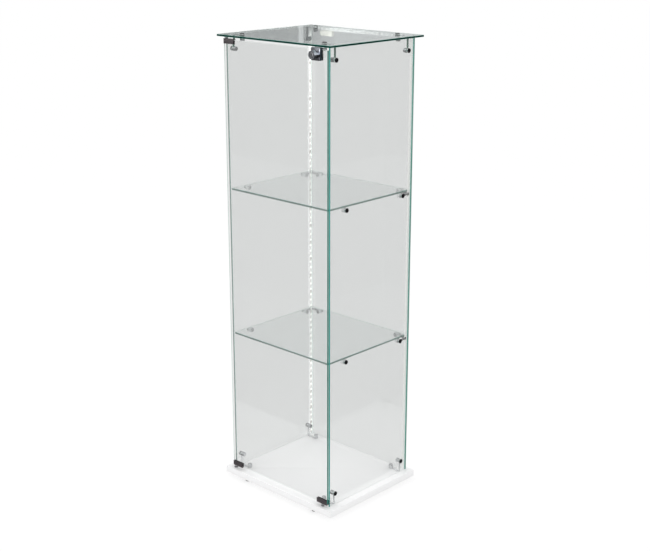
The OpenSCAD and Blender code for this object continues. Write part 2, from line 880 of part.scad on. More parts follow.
// Channel on a corner of the door, from its end inwards along +X, open towards +Z
module edge_clip(stub_at) {
    clip_d = pane_t + 2 * clip_seat;
    difference() {
        translate([clip_l / 2, pane_t / 2, 0]) linear_extrude(clip_h)
            rounded_outline(clip_l, clip_d, edge_break);
        translate([-overcut, -liner_t, clip_wall])
            cube([clip_l + 2 * overcut, pane_t + 2 * liner_t, clip_h]);
        translate([stub_at, pane_t / 2, -overcut])
            cylinder(d = pivot_d + 2 * thread_gap, h = clip_wall + 2 * overcut);
        clip_screw_places() translate([0, 0, -overcut])
            cylinder(d = plate_screw_d + 2 * thread_gap, h = clip_wall + 2 * overcut);
    }
}

// The screws pass the clip's back wall; +Z points away from the glass
module clip_screw_places() {
    for (along = [1 / 3, 2 / 3])
        translate([clip_l * along, pane_t + liner_t, (clip_h + clip_seat) / 2]) rotate([-90, 0, 0])
            children();
}

module clip_liner() {
    liner_l = clip_l - 2 * edge_break;
    translate([edge_break, -liner_t, clip_wall]) difference() {
        cube([liner_l, pane_t + 2 * liner_t, clip_h - clip_wall - edge_break]);
        translate([-overcut, liner_t, liner_t]) cube([liner_l + 2 * overcut, pane_t, clip_h]);
    }
}

clip_screw_head_t = 1.2;

module clip_screw() {
    difference() {
        union() {
            translate([0, 0, slip_gap]) cylinder(d = plate_screw_d, h = clip_wall + slip_gap);
            translate([0, 0, clip_wall + slip_gap])
                bevelled_rod(plate_screw_head_d, clip_screw_head_t, edge_break / 2);
        }
        translate([0, 0, clip_wall + clip_screw_head_t / 2])
            cylinder(d = socket_hex_d, h = clip_screw_head_t, $fn = 6);
    }
}

pivot_at = pivot_inset - clip_end_inset;

module at_bottom_hinge_clip() {
    translate([-half_w + clip_end_inset, door_y, case_z + low_clip_gap]) children();
}

module at_top_hinge_clip() {
    translate([-half_w + clip_end_inset, door_y, top_z - high_clip_gap]) mirror([0, 0, 1]) children();
}

module at_catch_clip() {
    translate([half_w - clip_end_inset, door_y, case_z + low_clip_gap]) mirror([1, 0, 0]) children();
}

module bottom_hinge_clip() { color("gray") at_bottom_hinge_clip() edge_clip(pivot_at); }

module top_hinge_clip() { color("gray") at_top_hinge_clip() edge_clip(pivot_at); }

module catch_clip() { color("gray") at_catch_clip() edge_clip(clip_l / 2); }

module clip_liners() {
    color("black") {
        at_bottom_hinge_clip() clip_liner();
        at_top_hinge_clip() clip_liner();
        at_catch_clip() clip_liner();
    }
}

module clip_screws() {
    color("silver") {
        at_bottom_hinge_clip() clip_screw_places() clip_screw();
        at_top_hinge_clip() clip_screw_places() clip_screw();
        at_catch_clip() clip_screw_places() clip_screw();
    }
}

// Pin through a clip's wall, with a collar outside it; +Z points away from the clip
module clip_pin(collar_h, pin_l) {
    translate([0, 0, -clip_wall]) cylinder(d = pivot_d, h = clip_wall + collar_h);
    bevelled_rod(collar_d, collar_h, edge_break);
    cylinder(d = pivot_d, h = pin_l);
}

module bottom_pivot_pin() {
    collar_h = low_clip_gap - bush_flange_t - seat_gap;
    color("silver") translate([pivot_x, pivot_y, case_z + low_clip_gap]) mirror([0, 0, 1])
        clip_pin(collar_h, low_clip_gap + bush_depth - overcut - 2 * seat_gap);
}

module top_pivot_pin() {
    collar_h = high_clip_gap - bush_flange_t - seat_gap;
    color("silver") translate([pivot_x, pivot_y, top_z - high_clip_gap])
        clip_pin(collar_h, high_clip_gap + top_t - overcut - 2 * seat_gap);
}

module catch_foot() {
    foot_h = low_clip_gap - cup_proud - seat_gap;
    color("silver") translate([catch_x, pivot_y, case_z + low_clip_gap]) mirror([0, 0, 1])
        clip_pin(foot_h, foot_h);
}

// ---------- Lock: +Z of these shapes points from the lock's nose to the back ----------

module on_lock(y) {
    translate([lock_x, y, lock_z]) rotate([-90, 0, 0]) children();
}

// The plates' outline, seen from the front with +Y down
module lock_outline() {
    top_edge = lock_drop + lock_top_rise;
    low_edge = lock_h - top_edge;
    translate([-lock_w / 2, -top_edge]) square([lock_w, lock_h - lock_corner_r]);
    translate([lock_corner_r - lock_w / 2, -top_edge]) square([lock_w - 2 * lock_corner_r, lock_h]);
    for (side = sides)
        translate([side * (lock_w / 2 - lock_corner_r), low_edge - lock_corner_r]) circle(r = lock_corner_r);
}

// The part of the lock that fills the notch in the glass
module lock_hub_outline() {
    circle(d = lock_body_d);
    translate([-lock_body_d / 2, -lock_drop - lock_top_rise])
        square([lock_body_d, lock_drop + lock_top_rise]);
}

module lock_screw_places() {
    for (side = sides)
        translate([side * plate_screw_offset, -plate_screw_rise, 0]) children();
}

module lock_body() {
    nose = lock_reach - gasket_t - lock_plate_t;
    hub_l = pane_t + 2 * gasket_t;
    body_l = lock_reach + pane_t + gasket_t;
    color("silver") on_lock(door_y - lock_reach) difference() {
        union() {
            bevelled_rod(lock_body_d, nose + edge_break, edge_break);
            translate([0, 0, nose]) linear_extrude(lock_plate_t) lock_outline();
            translate([0, 0, body_l - hub_l]) linear_extrude(hub_l) lock_hub_outline();
        }
        translate([0, 0, -overcut]) {
            cylinder(d = plug_d + 2 * running_gap, h = body_l + 2 * overcut);
            cylinder(d = plug_face_d + 2 * running_gap, h = plug_face_t + slip_gap + overcut);
        }
        lock_screw_places() translate([0, 0, body_l - plate_screw_l])
            cylinder(d = plate_screw_d + 2 * thread_gap, h = plate_screw_l + overcut);
    }
}

module lock_back_plate() {
    color("silver") on_lock(back_plate_y) difference() {
        linear_extrude(back_plate_t) lock_outline();
        translate([0, 0, -overcut])
            cylinder(d = plug_d + 2 * running_gap, h = back_plate_t + 2 * overcut);
        lock_screw_places() translate([0, 0, back_plate_t]) mirror([0, 0, 1])
            flat_head_space(plate_screw_d, plate_screw_head_d, back_plate_t + overcut, slip_gap);
    }
}

module lock_plate_screws() {
    color("silver") on_lock(back_plate_y) lock_screw_places()
        translate([0, 0, back_plate_t]) mirror([0, 0, 1])
            flat_head_screw(plate_screw_d, plate_screw_head_d, plate_screw_l);
}

module lock_gaskets() {
    color("black") for (y = [door_y - gasket_t, door_y + pane_t])
        on_lock(y) difference() {
            linear_extrude(gasket_t) intersection() {
                lock_outline();
                translate([-lock_w, -lock_drop]) square([2 * lock_w, lock_h]);
            }
            translate([0, 0, -overcut]) linear_extrude(gasket_t + 2 * overcut) {
                circle(d = notch_w);
                translate([-notch_w / 2, -lock_drop - overcut]) square([notch_w, lock_drop + overcut]);
            }
        }
}

plug_shank_l = lock_reach + cam_y - door_y;
circlip_t = 0.8;
circlip_d = 12.5;
circlip_groove = 0.5;
circlip_z = lock_reach + keeper_y - stop_gap - door_y + slip_gap;

module lock_plug() {
    color("silver") on_lock(door_y - lock_reach) difference() {
        union() {
            cylinder(d = plug_face_d, h = plug_face_t);
            cylinder(d = plug_d, h = plug_shank_l);
            translate([-tail_s / 2, -tail_s / 2, plug_shank_l - overcut])
                cube([tail_s, tail_s, cam_t + overcut]);
            translate([0, 0, plug_shank_l]) cylinder(d = stud_d, h = cam_t + stud_l);
        }
        translate([-key_slot_w / 2, -key_slot_h / 2, -overcut])
            cube([key_slot_w, key_slot_h, key_slot_l + overcut]);
        wafer_places() cube([wafer_w + slip_gap, plug_d + overcut, wafer_t + slip_gap], center = true);
        translate([0, 0, circlip_z]) difference() {
            cylinder(d = plug_d + overcut, h = circlip_t + slip_gap);
            cylinder(d = plug_d - 2 * circlip_groove, h = circlip_t + slip_gap);
        }
    }
}

module wafer_places() {
    for (i = [0 : wafer_count - 1])
        translate([0, 0, wafer_start + (i + 0.5) * wafer_pitch]) children();
}

module lock_wafers() {
    wafer_h = 2 * sqrt(pow(plug_d / 2, 2) - pow(wafer_w / 2, 2));
    color("gold") on_lock(door_y - lock_reach) wafer_places() difference() {
        cube([wafer_w, wafer_h, wafer_t], center = true);
        cube([key_slot_w + slip_gap, key_slot_h - wafer_t, wafer_t + overcut], center = true);
    }
}

module lock_circlip() {
    color("silver") on_lock(door_y - lock_reach) translate([0, 0, circlip_z + slip_gap / 2]) difference() {
        cylinder(d = circlip_d, h = circlip_t);
        translate([0, 0, -overcut])
            cylinder(d = plug_d - 2 * circlip_groove + slip_gap, h = circlip_t + 2 * overcut);
        translate([0, 0, -overcut]) linear_extrude(circlip_t + 2 * overcut)
            polygon([[0, 0], [circlip_d, circlip_d / 2], [circlip_d, -circlip_d / 2]]);
    }
}

module lock_cam() {
    color("silver") on_lock(cam_y) difference() {
        union() {
            cylinder(d = cam_w, h = cam_t);
            translate([-cam_l + edge_break, -cam_w / 2, 0]) cube([cam_l - edge_break, cam_w, cam_t]);
            translate([-cam_l, edge_break - cam_w / 2, 0]) cube([cam_l, cam_w - 2 * edge_break, cam_t]);
        }
        translate([0, 0, cam_t / 2])
            cube([tail_s + slip_gap, tail_s + slip_gap, cam_t + overcut], center = true);
    }
}

module lock_cam_nut() {
    nut_d = 8;
    color("silver") on_lock(cam_y + cam_t + thread_gap) difference() {
        cylinder(d = nut_d, h = stud_l - overcut / 2, $fn = 6);
        translate([0, 0, -overcut]) cylinder(d = stud_d + 2 * thread_gap, h = stud_l + 2 * overcut);
    }
}

base_board();
glides();
glide_screws();
left_pane();
right_pane();
back_pane();
top_pane();
top_corner_strips();
top_barrels();
top_cap_screws();
base_corner_strips();
base_barrels();
base_cap_screws();
base_bosses();
base_bolts();
shelf_corner_strips();
shelf_barrels();
shelf_cap_screws();
shelf_pins();
shelf_pin_screws();
shelf_sleeves();
glass_bushes();
inner_washers();
upper_shelf();
lower_shelf();
top_pivot_bush();
bottom_pivot_bush();
catch_cup();
catch_magnet();
lock_keeper();
left_light_tape();
right_light_tape();
top_light_tape();
left_lamps();
right_lamps();
top_lamps();
control_case();
control_back();
control_circuit();
power_socket();
light_leads();
door_pane();
top_hinge_clip();
bottom_hinge_clip();
catch_clip();
clip_liners();
clip_screws();
top_pivot_pin();
bottom_pivot_pin();
catch_foot();
lock_body();
lock_back_plate();
lock_gaskets();
lock_plate_screws();
lock_plug();
lock_wafers();
lock_circlip();
lock_cam();
lock_cam_nut();
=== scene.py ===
"""Tall glass display case: the visual model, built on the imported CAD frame."""
import logging
import math
from dataclasses import dataclass
from enum import Enum
from typing import Iterable, Sequence

import bmesh
import bpy
from mathutils import Matrix, Vector


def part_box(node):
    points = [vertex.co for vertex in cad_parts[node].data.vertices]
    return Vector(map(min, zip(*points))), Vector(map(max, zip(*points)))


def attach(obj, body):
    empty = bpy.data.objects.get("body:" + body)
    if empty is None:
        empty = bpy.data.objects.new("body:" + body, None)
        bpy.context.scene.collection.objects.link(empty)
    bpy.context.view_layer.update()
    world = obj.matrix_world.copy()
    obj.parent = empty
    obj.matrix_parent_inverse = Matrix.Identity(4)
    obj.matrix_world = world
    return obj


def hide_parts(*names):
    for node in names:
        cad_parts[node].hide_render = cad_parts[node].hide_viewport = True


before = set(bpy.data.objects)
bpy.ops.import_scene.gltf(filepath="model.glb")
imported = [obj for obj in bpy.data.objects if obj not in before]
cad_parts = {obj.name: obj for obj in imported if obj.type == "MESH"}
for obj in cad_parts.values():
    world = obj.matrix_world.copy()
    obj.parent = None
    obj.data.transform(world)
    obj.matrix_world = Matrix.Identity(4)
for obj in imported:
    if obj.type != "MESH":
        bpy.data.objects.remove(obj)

Colour = tuple[float, float, float]
WHITE: Colour = (1.0, 1.0, 1.0)
NEAR_BLACK: Colour = (0.01, 0.01, 0.012)
log = logging.getLogger("display_case")

MM = 0.001


def metres(x: float, y: float, z: float) -> Vector:
    """Returns a point given in millimetres as a vector in metres."""
    return Vector((x, y, z)) * MM


# ---------------------------------------------------------------- sizes and places


def span(node: str) -> tuple[Vector, Vector]:
    """Returns the lowest and highest corner of a CAD node, in millimetres."""
    low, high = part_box(node)
    return Vector(low) / MM, Vector(high) / MM


@dataclass(frozen=True)
class CaseSizes:
    """The sizes that several sub-assemblies share, in millimetres.

    Attributes:
        inner_x: Inner face of the right pane; the left one mirrors it.
        back_inner_y: Inner face of the back pane.
        board_z: Upper face of the base board.
        top_z: Lower face of the top pane.
        barrel_x: Middle of the connectors on board, back and top, to the right; the left ones mirror it.
        connector_ys: Depths of the connectors at board and top.
        base_barrel_z: Height of the base connectors on the side panes.
        top_barrel_z: Height of the top connectors on the side panes.
        shelf_pin_y: Depth of the pins under the shelves' front edges.
        shelf_barrel_y: Depth of the shelf connectors on the side panes.
        pin_zs: Heights of the shelf connectors.
        barrel: Diameter of a barrel.
        strip_stack: Thickness of washer and strip under a barrel.
        washer: Thickness of a washer alone.
        keeper: Thickness of the lock keeper.
    """

    inner_x: float
    back_inner_y: float
    board_z: float
    top_z: float
    barrel_x: float
    connector_ys: tuple[float, float]
    base_barrel_z: float
    top_barrel_z: float
    shelf_pin_y: float
    shelf_barrel_y: float
    pin_zs: tuple[float, float]
    barrel: float = 12.0
    strip_stack: float = 2.0
    washer: float = 0.5
    keeper: float = 1.2

    @classmethod
    def measured(cls) -> "CaseSizes":
        """Returns the sizes as the CAD frame has them."""
        half = cls.barrel / 2
        base_low, base_high = span("base_barrels")
        shelf_low, shelf_high = span("shelf_barrels")
        return cls(
            inner_x=span("right_pane")[0].x,
            back_inner_y=span("back_pane")[0].y,
            board_z=span("base_board")[1].z,
            top_z=span("top_pane")[0].z,
            barrel_x=span("base_bosses")[1].x - half,
            connector_ys=(base_low.y + half, base_high.y - half),
            base_barrel_z=base_low.z + half,
            top_barrel_z=span("top_barrels")[0].z + half,
            shelf_pin_y=span("shelf_pins")[0].y + half,
            shelf_barrel_y=shelf_low.y + half,
            pin_zs=(shelf_low.z + half, shelf_high.z - half))


SIZES = CaseSizes.measured()


@dataclass(frozen=True)
class Seat:
    """A connector's place on a pane or on the board.

    Attributes:
        at: The place on the inner face, in metres.
        turn: Rotation that brings the connector's own +Z to point out of the case.
        stack: Thickness of washer and strip under the barrel, in millimetres.
    """

    at: Vector
    turn: Matrix
    stack: float

    @property
    def matrix(self) -> Matrix:
        """Returns the transform from the connector's own axes to the case."""
        return Matrix.Translation(self.at) @ self.turn


def side_seats(ys: Iterable[float], zs: Iterable[float], stack: float) -> list[Seat]:
    """Places on both side panes.

    Args:
        ys: Depths of the places.
        zs: Heights of the places.
        stack: Thickness of washer and strip under the barrel, in millimetres.

    Returns:
        One seat for each pane, depth and height.
    """
    return [Seat(metres(side * SIZES.inner_x, y, z), Matrix.Rotation(side * math.pi / 2, 4, "Y"), stack)
            for side in (-1, 1) for y in ys for z in zs]


def back_seats(stack: float) -> list[Seat]:
    """Returns the four places on the back pane, behind the shelves."""
    return [Seat(metres(side * SIZES.barrel_x, SIZES.back_inner_y, z), Matrix.Rotation(-math.pi / 2, 4, "X"), stack)
            for side in (-1, 1) for z in SIZES.pin_zs]


def top_seats() -> list[Seat]:
    """Returns the four places under the top pane; the lock keeper thickens the one at the front right."""
    seats: list[Seat] = []
    for side in (-1, 1):
        for y in SIZES.connector_ys:
            held = SIZES.keeper if side > 0 and y < 0 else 0.0
            seats.append(Seat(metres(side * SIZES.barrel_x, y, SIZES.top_z), Matrix.Identity(4),
                              SIZES.strip_stack + held))
    return seats


def board_seats() -> list[Seat]:
    """Returns the four places on the base board."""
    return [Seat(metres(side * SIZES.barrel_x, y, SIZES.board_z), Matrix.Rotation(math.pi, 4, "X"), SIZES.strip_stack)
            for side in (-1, 1) for y in SIZES.connector_ys]


# ---------------------------------------------------------------- shader node groups


class NodeSheet:
    """A small helper that adds nodes to a tree and joins them."""

    def __init__(self, tree: bpy.types.NodeTree) -> None:
        """Keeps the tree that nodes are added to."""
        self.tree = tree

    def add(self, kind: str, **settings: object) -> bpy.types.Node:
        """Adds a node.

        Args:
            kind: The node's type name.
            settings: Properties to set on it.

        Returns:
            The new node.
        """
        node = self.tree.nodes.new(kind)
        for name, value in settings.items():
            setattr(node, name, value)
        return node

    def link(self, source: bpy.types.NodeSocket, target: bpy.types.NodeSocket) -> None:
        """Joins an output to an input."""
        self.tree.links.new(source, target)

    def maths(self, operation: str, first: object, second: object, clamp: bool = False) -> bpy.types.NodeSocket:
        """Adds a Math node.

        Args:
            operation: The Math node's operation.
            first: A socket or a number.
            second: A socket or a number.
            clamp: Whether the result is held between 0 and 1.

        Returns:
            The node's output.
        """
        node = self.add("ShaderNodeMath", operation=operation, use_clamp=clamp)
        for index, value in enumerate((first, second)):
            if isinstance(value, bpy.types.NodeSocket):
                self.link(value, node.inputs[index])
            else:
                node.inputs[index].default_value = value
        return node.outputs[0]

    def mix(self, mask: bpy.types.NodeSocket, low: object, high: object) -> bpy.types.NodeSocket:
        """Mixes two colours.

        Args:
            mask: The factor.
            low: A socket or a colour shown where the mask is 0.
            high: A socket or a colour shown where the mask is 1.

        Returns:
            The mixed colour.
        """
        node = self.add("ShaderNodeMix", data_type="RGBA")
        self.link(mask, node.inputs["Factor"])
        for name, value in (("A", low), ("B", high)):
            socket = next(s for s in node.inputs if s.name == name and s.type == "RGBA")
            if isinstance(value, bpy.types.NodeSocket):
                self.link(value, socket)
            else:
                socket.default_value = (*value, 1.0)
        return next(s for s in node.outputs if s.type == "RGBA")

    def effect(self, group: bpy.types.NodeTree) -> bpy.types.Node:
        """Adds a shared effect that follows the object's own coordinates, and returns its node."""
        node = self.add("ShaderNodeGroup", node_tree=group)
        self.link(self.add("ShaderNodeTexCoord").outputs["Object"], node.inputs["Vector"])
        return node

    def soft_alpha(self, share: float) -> bpy.types.NodeSocket:
        """Returns an alpha that lets a share of the shadow and diffuse rays straight through."""
        rays = self.add("ShaderNodeLightPath")
        soft = self.maths("MAXIMUM", rays.outputs["Is Shadow Ray"], rays.outputs["Is Diffuse Ray"])
        return self.maths("SUBTRACT", 1.0, self.maths("MULTIPLY", soft, share))

    def seen(self) -> bpy.types.NodeSocket:
        """Returns a mask of the rays that show the background."""
        rays = self.add("ShaderNodeLightPath")
        seen = self.maths("MAXIMUM", rays.outputs["Is Camera Ray"], rays.outputs["Is Glossy Ray"])
        return self.maths("MAXIMUM", seen, rays.outputs["Is Transmission Ray"])


def new_group(name: str, inputs: dict[str, float],
              outputs: Sequence[str]) -> tuple[NodeSheet, bpy.types.Node, bpy.types.Node]:
    """Starts a shader node group with a vector input, numbers in and numbers out.

    Args:
        name: The group's name.
        inputs: Names and default values of its number inputs.
        outputs: Names of its number outputs.

    Returns:
        The sheet to draw on, the group's input node and its output node.
    """
    tree = bpy.data.node_groups.new(name, "ShaderNodeTree")
    tree.interface.new_socket("Vector", in_out="INPUT", socket_type="NodeSocketVector")
    for label, value in inputs.items():
        tree.interface.new_socket(label, in_out="INPUT", socket_type="NodeSocketFloat").default_value = value
    for label in outputs:
        tree.interface.new_socket(label, in_out="OUTPUT", socket_type="NodeSocketFloat")
    sheet = NodeSheet(tree)
    return sheet, sheet.add("NodeGroupInput"), sheet.add("NodeGroupOutput")


class Effects:
    """The surface effects that several finishes share, each built once.

    Attributes:
        LINE_STRETCH: How close the drawn lines' noise stands along each axis.
    """

    LINE_STRETCH = (60.0, 60.0, 4200.0)

    def __init__(self) -> None:
        """Builds the groups."""
        self.grain = self._grain()
        self.brushing = self._brushing()
        self.smears = self._smears()

    @staticmethod
    def _grain() -> bpy.types.NodeTree:
        """Returns fine moulding or plating grain: a mask and a height from two sizes of noise."""
        sheet, given, result = new_group("fine_grain", {"Scale": 900.0, "Patches": 30.0}, ("Mask", "Height"))
        fine = sheet.add("ShaderNodeTexNoise")
        fine.inputs["Detail"].default_value = 3.0
        patches = sheet.add("ShaderNodeTexNoise")
        patches.inputs["Detail"].default_value = 2.0
        for noise, label in ((fine, "Scale"), (patches, "Patches")):
            sheet.link(given.outputs["Vector"], noise.inputs["Vector"])
            sheet.link(given.outputs[label], noise.inputs["Scale"])
        both = sheet.maths("MULTIPLY", fine.outputs["Fac"], patches.outputs["Fac"])
        sheet.link(sheet.maths("MULTIPLY", both, 2.0, clamp=True), result.inputs["Mask"])
        sheet.link(fine.outputs["Fac"], result.inputs["Height"])
        return sheet.tree

    @classmethod
    def _brushing(cls) -> bpy.types.NodeTree:
        """Returns fine drawn lines across a bar or plate, as a mask."""
        sheet, given, result = new_group("drawn_lines", {"Scale": 1.0}, ("Mask",))
        stretch = sheet.add("ShaderNodeMapping")
        stretch.inputs["Scale"].default_value = cls.LINE_STRETCH
        sheet.link(given.outputs["Vector"], stretch.inputs["Vector"])
        lines = sheet.add("ShaderNodeTexNoise")
        sheet.link(stretch.outputs["Vector"], lines.inputs["Vector"])
        sheet.link(given.outputs["Scale"], lines.inputs["Scale"])
        lines.inputs["Detail"].default_value = 2.0
        sheet.link(lines.outputs["Fac"], result.inputs["Mask"])
        return sheet.tree

    @staticmethod
    def _smears() -> bpy.types.NodeTree:
        """Returns very faint, wide marks of wiping, as a mask."""
        sheet, given, result = new_group("wiping_marks", {"Scale": 9.0}, ("Mask",))
        bend = sheet.add("ShaderNodeTexNoise")
        sheet.link(given.outputs["Vector"], bend.inputs["Vector"])
        sheet.link(given.outputs["Scale"], bend.inputs["Scale"])
        bend.inputs["Distortion"].default_value = 1.4
        bend.inputs["Detail"].default_value = 5.0
        sheet.link(sheet.maths("SUBTRACT", bend.outputs["Fac"], 0.45, clamp=True), result.inputs["Mask"])
        return sheet.tree


EFFECTS = Effects()


# ---------------------------------------------------------------- finishes


def shade(colour: Colour, share: float) -> Colour:
    """Returns a colour with its three parts scaled."""
    return colour[0] * share, colour[1] * share, colour[2] * share


def start_material(name: str) -> tuple[NodeSheet, bpy.types.Node]:
    """Makes an empty material with its shader and output.

    Args:
        name: The material's name.

    Returns:
        The sheet to draw on and the Principled shader.
    """
    material = bpy.data.materials.new(name)
    material.use_nodes = True
    material.node_tree.nodes.clear()
    sheet = NodeSheet(material.node_tree)
    shader = sheet.add("ShaderNodeBsdfPrincipled")
    output = sheet.add("ShaderNodeOutputMaterial")
    sheet.link(shader.outputs["BSDF"], output.inputs["Surface"])
    return sheet, shader


class Look:
    """A material that is built on first use.

    Attributes:
        name: The material's name.
    """

    name: str

    def material(self) -> bpy.types.Material:
        """Returns the material."""
        if self.name not in bpy.data.materials:
            self._build(*start_material(self.name))
        return bpy.data.materials[self.name]

    def _build(self, sheet: NodeSheet, shader: bpy.types.Node) -> None:
        """Builds the material's nodes.

        Args:
            sheet: The material's sheet.
            shader: Its Principled shader.
        """
        raise NotImplementedError


class Texture(Enum):
    """Which shared effect breaks up a finish."""

    GRAIN = "grain"
    BRUSHING = "brushing"


@dataclass(frozen=True)
class Finish(Look):
    """A solid finish: plastic, rubber, laminate, paint or metal.

    Attributes:
        name: The material's name.
        colour: Its main colour.
        second: The colour it drifts towards in the effect's mask.
        roughness: Roughness where the mask is 0.
        rough_drift: How much rougher it gets where the mask is 1.
        metallic: Share of metal in the surface, from 0 to 1.
        texture: The effect that breaks it up.
        scale: The effect's scale.
        bump: Depth of the effect's relief, in millimetres.
        glow: Strength of its own light: painted light on the tapes and leads, which give no light of their own, and the
            glow of the lamps' bodies.
        rim: How much darker it gets where it turns away, from 0 to 1: a painted dark reflection round the silhouette.
        falloff: Power of that darkening; under 1 it starts close to the middle.
        shine: Specular level of the surface.
    """

    name: str
    colour: Colour
    second: Colour
    roughness: float
    rough_drift: float = 0.1
    metallic: float = 0.0
    texture: Texture = Texture.GRAIN
    scale: float = 900.0
    bump: float = 0.01
    glow: float = 0.0
    rim: float = 0.0
    falloff: float = 1.6
    shine: float = 0.5

    def _build(self, sheet: NodeSheet, shader: bpy.types.Node) -> None:
        """Builds the material's nodes, as Look says."""
        effect = sheet.effect(getattr(EFFECTS, self.texture.value))
        effect.inputs["Scale"].default_value = self.scale
        mask = effect.outputs["Mask"]
        tone = sheet.mix(mask, self.colour, self.second)
        # Painted reflection: the colour darkens towards the silhouette, standing for the dark surroundings that
        # polished metal mirrors there.
        if self.rim > 0:
            turning = sheet.add("ShaderNodeLayerWeight")
            turning.inputs["Blend"].default_value = 0.5
            away = sheet.maths("POWER", turning.outputs["Facing"], self.falloff)
            tone = sheet.mix(sheet.maths("MULTIPLY", away, self.rim), tone, NEAR_BLACK)
        sheet.link(tone, shader.inputs["Base Color"])
        shader.inputs["Specular IOR Level"].default_value = self.shine
        if self.glow > 0:
            sheet.link(tone, shader.inputs["Emission Color"])
            shader.inputs["Emission Strength"].default_value = self.glow
        drift = sheet.maths("MULTIPLY", mask, self.rough_drift)
        sheet.link(sheet.maths("ADD", drift, self.roughness), shader.inputs["Roughness"])
        shader.inputs["Metallic"].default_value = self.metallic
        if self.bump > 0:
            relief = sheet.add("ShaderNodeBump")
            relief.inputs["Distance"].default_value = self.bump * MM
            height = effect.outputs.get("Height") or mask
            sheet.link(height, relief.inputs["Height"])
            sheet.link(relief.outputs["Normal"], shader.inputs["Normal"])


@dataclass(frozen=True)
class ClearGlass(Look):
    """Float glass seen through its broad faces.

    Attributes:
        name: The material's name.
        tint: Colour left after one pane.
        smear: Share of the tint left where the mask of wiping marks is 1.
        passing: Share of the soft light that passes straight through.
        bending: Index of refraction; a lower one shows more of what is behind at a flat angle.
    """

    name: str
    tint: Colour
    smear: float = 0.985
    passing: float = 1.0
    bending: float = 1.5

    def _build(self, sheet: NodeSheet, shader: bpy.types.Node) -> None:
        """Builds the material's nodes, as Look says."""
        mask = sheet.effect(EFFECTS.smears).outputs["Mask"]
        sheet.link(sheet.mix(mask, self.tint, shade(self.tint, self.smear)), shader.inputs["Base Color"])
        shader.inputs["Transmission Weight"].default_value = 1.0
        shader.inputs["Roughness"].default_value = 0.0
        shader.inputs["IOR"].default_value = self.bending
        sheet.link(sheet.soft_alpha(self.passing), shader.inputs["Alpha"])


@dataclass(frozen=True)
class GlassEdge(Look):
    """The ground green edge of float glass.

    Attributes:
        name: The material's name.
        deep: Colour where the noise is low.
        pale: Colour where it is high: painted light, in random patches, where the edge seems to gather light.
        inner: Colour seen from inside the pane, paler as painted light.
        shine: Specular level of the polish.
        scale: How often the tone changes along the edge.
        middle: Noise value under which the edge stays deep.
        contrast: How fast it turns pale above that.
        roughness: Roughness of the polish.
    """

    name: str
    deep: Colour
    pale: Colour
    inner: Colour = (0.66, 0.75, 0.71)
    shine: float = 0.2
    scale: float = 7.0
    middle: float = 0.35
    contrast: float = 2.4
    roughness: float = 0.12

    def _build(self, sheet: NodeSheet, shader: bpy.types.Node) -> None:
        """Builds the material's nodes, as Look says."""
        place = sheet.add("ShaderNodeTexCoord")
        drift = sheet.add("ShaderNodeTexNoise")
        drift.inputs["Scale"].default_value = self.scale
        drift.inputs["Detail"].default_value = 3.0
        sheet.link(place.outputs["Object"], drift.inputs["Vector"])
        above = sheet.maths("SUBTRACT", drift.outputs["Fac"], self.middle)
        spread = sheet.maths("MULTIPLY", above, self.contrast, clamp=True)
        # Painted light: from inside the pane the edge shows the paler inner colour.
        inside = sheet.add("ShaderNodeNewGeometry").outputs["Backfacing"]
        tone = sheet.mix(inside, sheet.mix(spread, self.deep, self.pale), self.inner)
        sheet.link(tone, shader.inputs["Base Color"])
        shader.inputs["Specular IOR Level"].default_value = self.shine
        shader.inputs["Roughness"].default_value = self.roughness
        shader.inputs["IOR"].default_value = 1.5


@dataclass(frozen=True)
class ClearPlastic(Look):
    """Clear moulded plastic for washers, bushes and sleeves.

    Attributes:
        name: The material's name.
        tint: Its colour.
        grain: Share of the tint left where the grain's mask is 1.
        passing: Share of the soft light that passes straight through.
    """

    name: str = "clear_plastic"
    tint: Colour = (0.88, 0.9, 0.9)
    grain: float = 0.95
    passing: float = 0.8

    def _build(self, sheet: NodeSheet, shader: bpy.types.Node) -> None:
        """Builds the material's nodes, as Look says."""
        mask = sheet.effect(EFFECTS.grain).outputs["Mask"]
        sheet.link(sheet.mix(mask, self.tint, shade(self.tint, self.grain)), shader.inputs["Base Color"])
        shader.inputs["Transmission Weight"].default_value = 0.85
        shader.inputs["Roughness"].default_value = 0.18
        shader.inputs["IOR"].default_value = 1.45
        sheet.link(sheet.soft_alpha(self.passing), shader.inputs["Alpha"])


@dataclass(frozen=True)
class LampLens(Look):
    """The lamp's round window, softly lit.

    Attributes:
        name: The material's name.
        colour: Colour of the window.
        second: The warmer colour it drifts towards in the grain.
        glow: Strength of its own light.
        roughness: Roughness of its surface.
    """

    name: str = "lamp_lens"
    colour: Colour = (0.95, 0.95, 0.92)
    second: Colour = (0.95, 0.9215, 0.8096)
    glow: float = 0.5
    roughness: float = 0.3

    def _build(self, sheet: NodeSheet, shader: bpy.types.Node) -> None:
        """Builds the material's nodes, as Look says."""
        tone = sheet.mix(sheet.effect(EFFECTS.grain).outputs["Mask"], self.colour, self.second)
        sheet.link(tone, shader.inputs["Base Color"])
        sheet.link(tone, shader.inputs["Emission Color"])
        shader.inputs["Emission Strength"].default_value = self.glow
        shader.inputs["Roughness"].default_value = self.roughness


def plating(name: str, colour: Colour, second: Colour, roughness: float, drift: float = 0.08, rim: float = 0.0,
            falloff: float = 1.6) -> Finish:
    """Returns a smooth polished metal whose colour darkens where it turns away, a painted dark reflection; see Finish
    for the arguments.
    """
    return Finish(name, colour, second, roughness, drift, 1.0, scale=500.0, bump=0.0, rim=rim, falloff=falloff)


def drawn_metal(name: str, colour: Colour, second: Colour, roughness: float, drift: float, metallic: float,
                bump: float) -> Finish:
    """Returns a metal with fine drawn lines; see Finish for the arguments."""
    return Finish(name, colour, second, roughness, drift, metallic, Texture.BRUSHING, 1.0, bump)


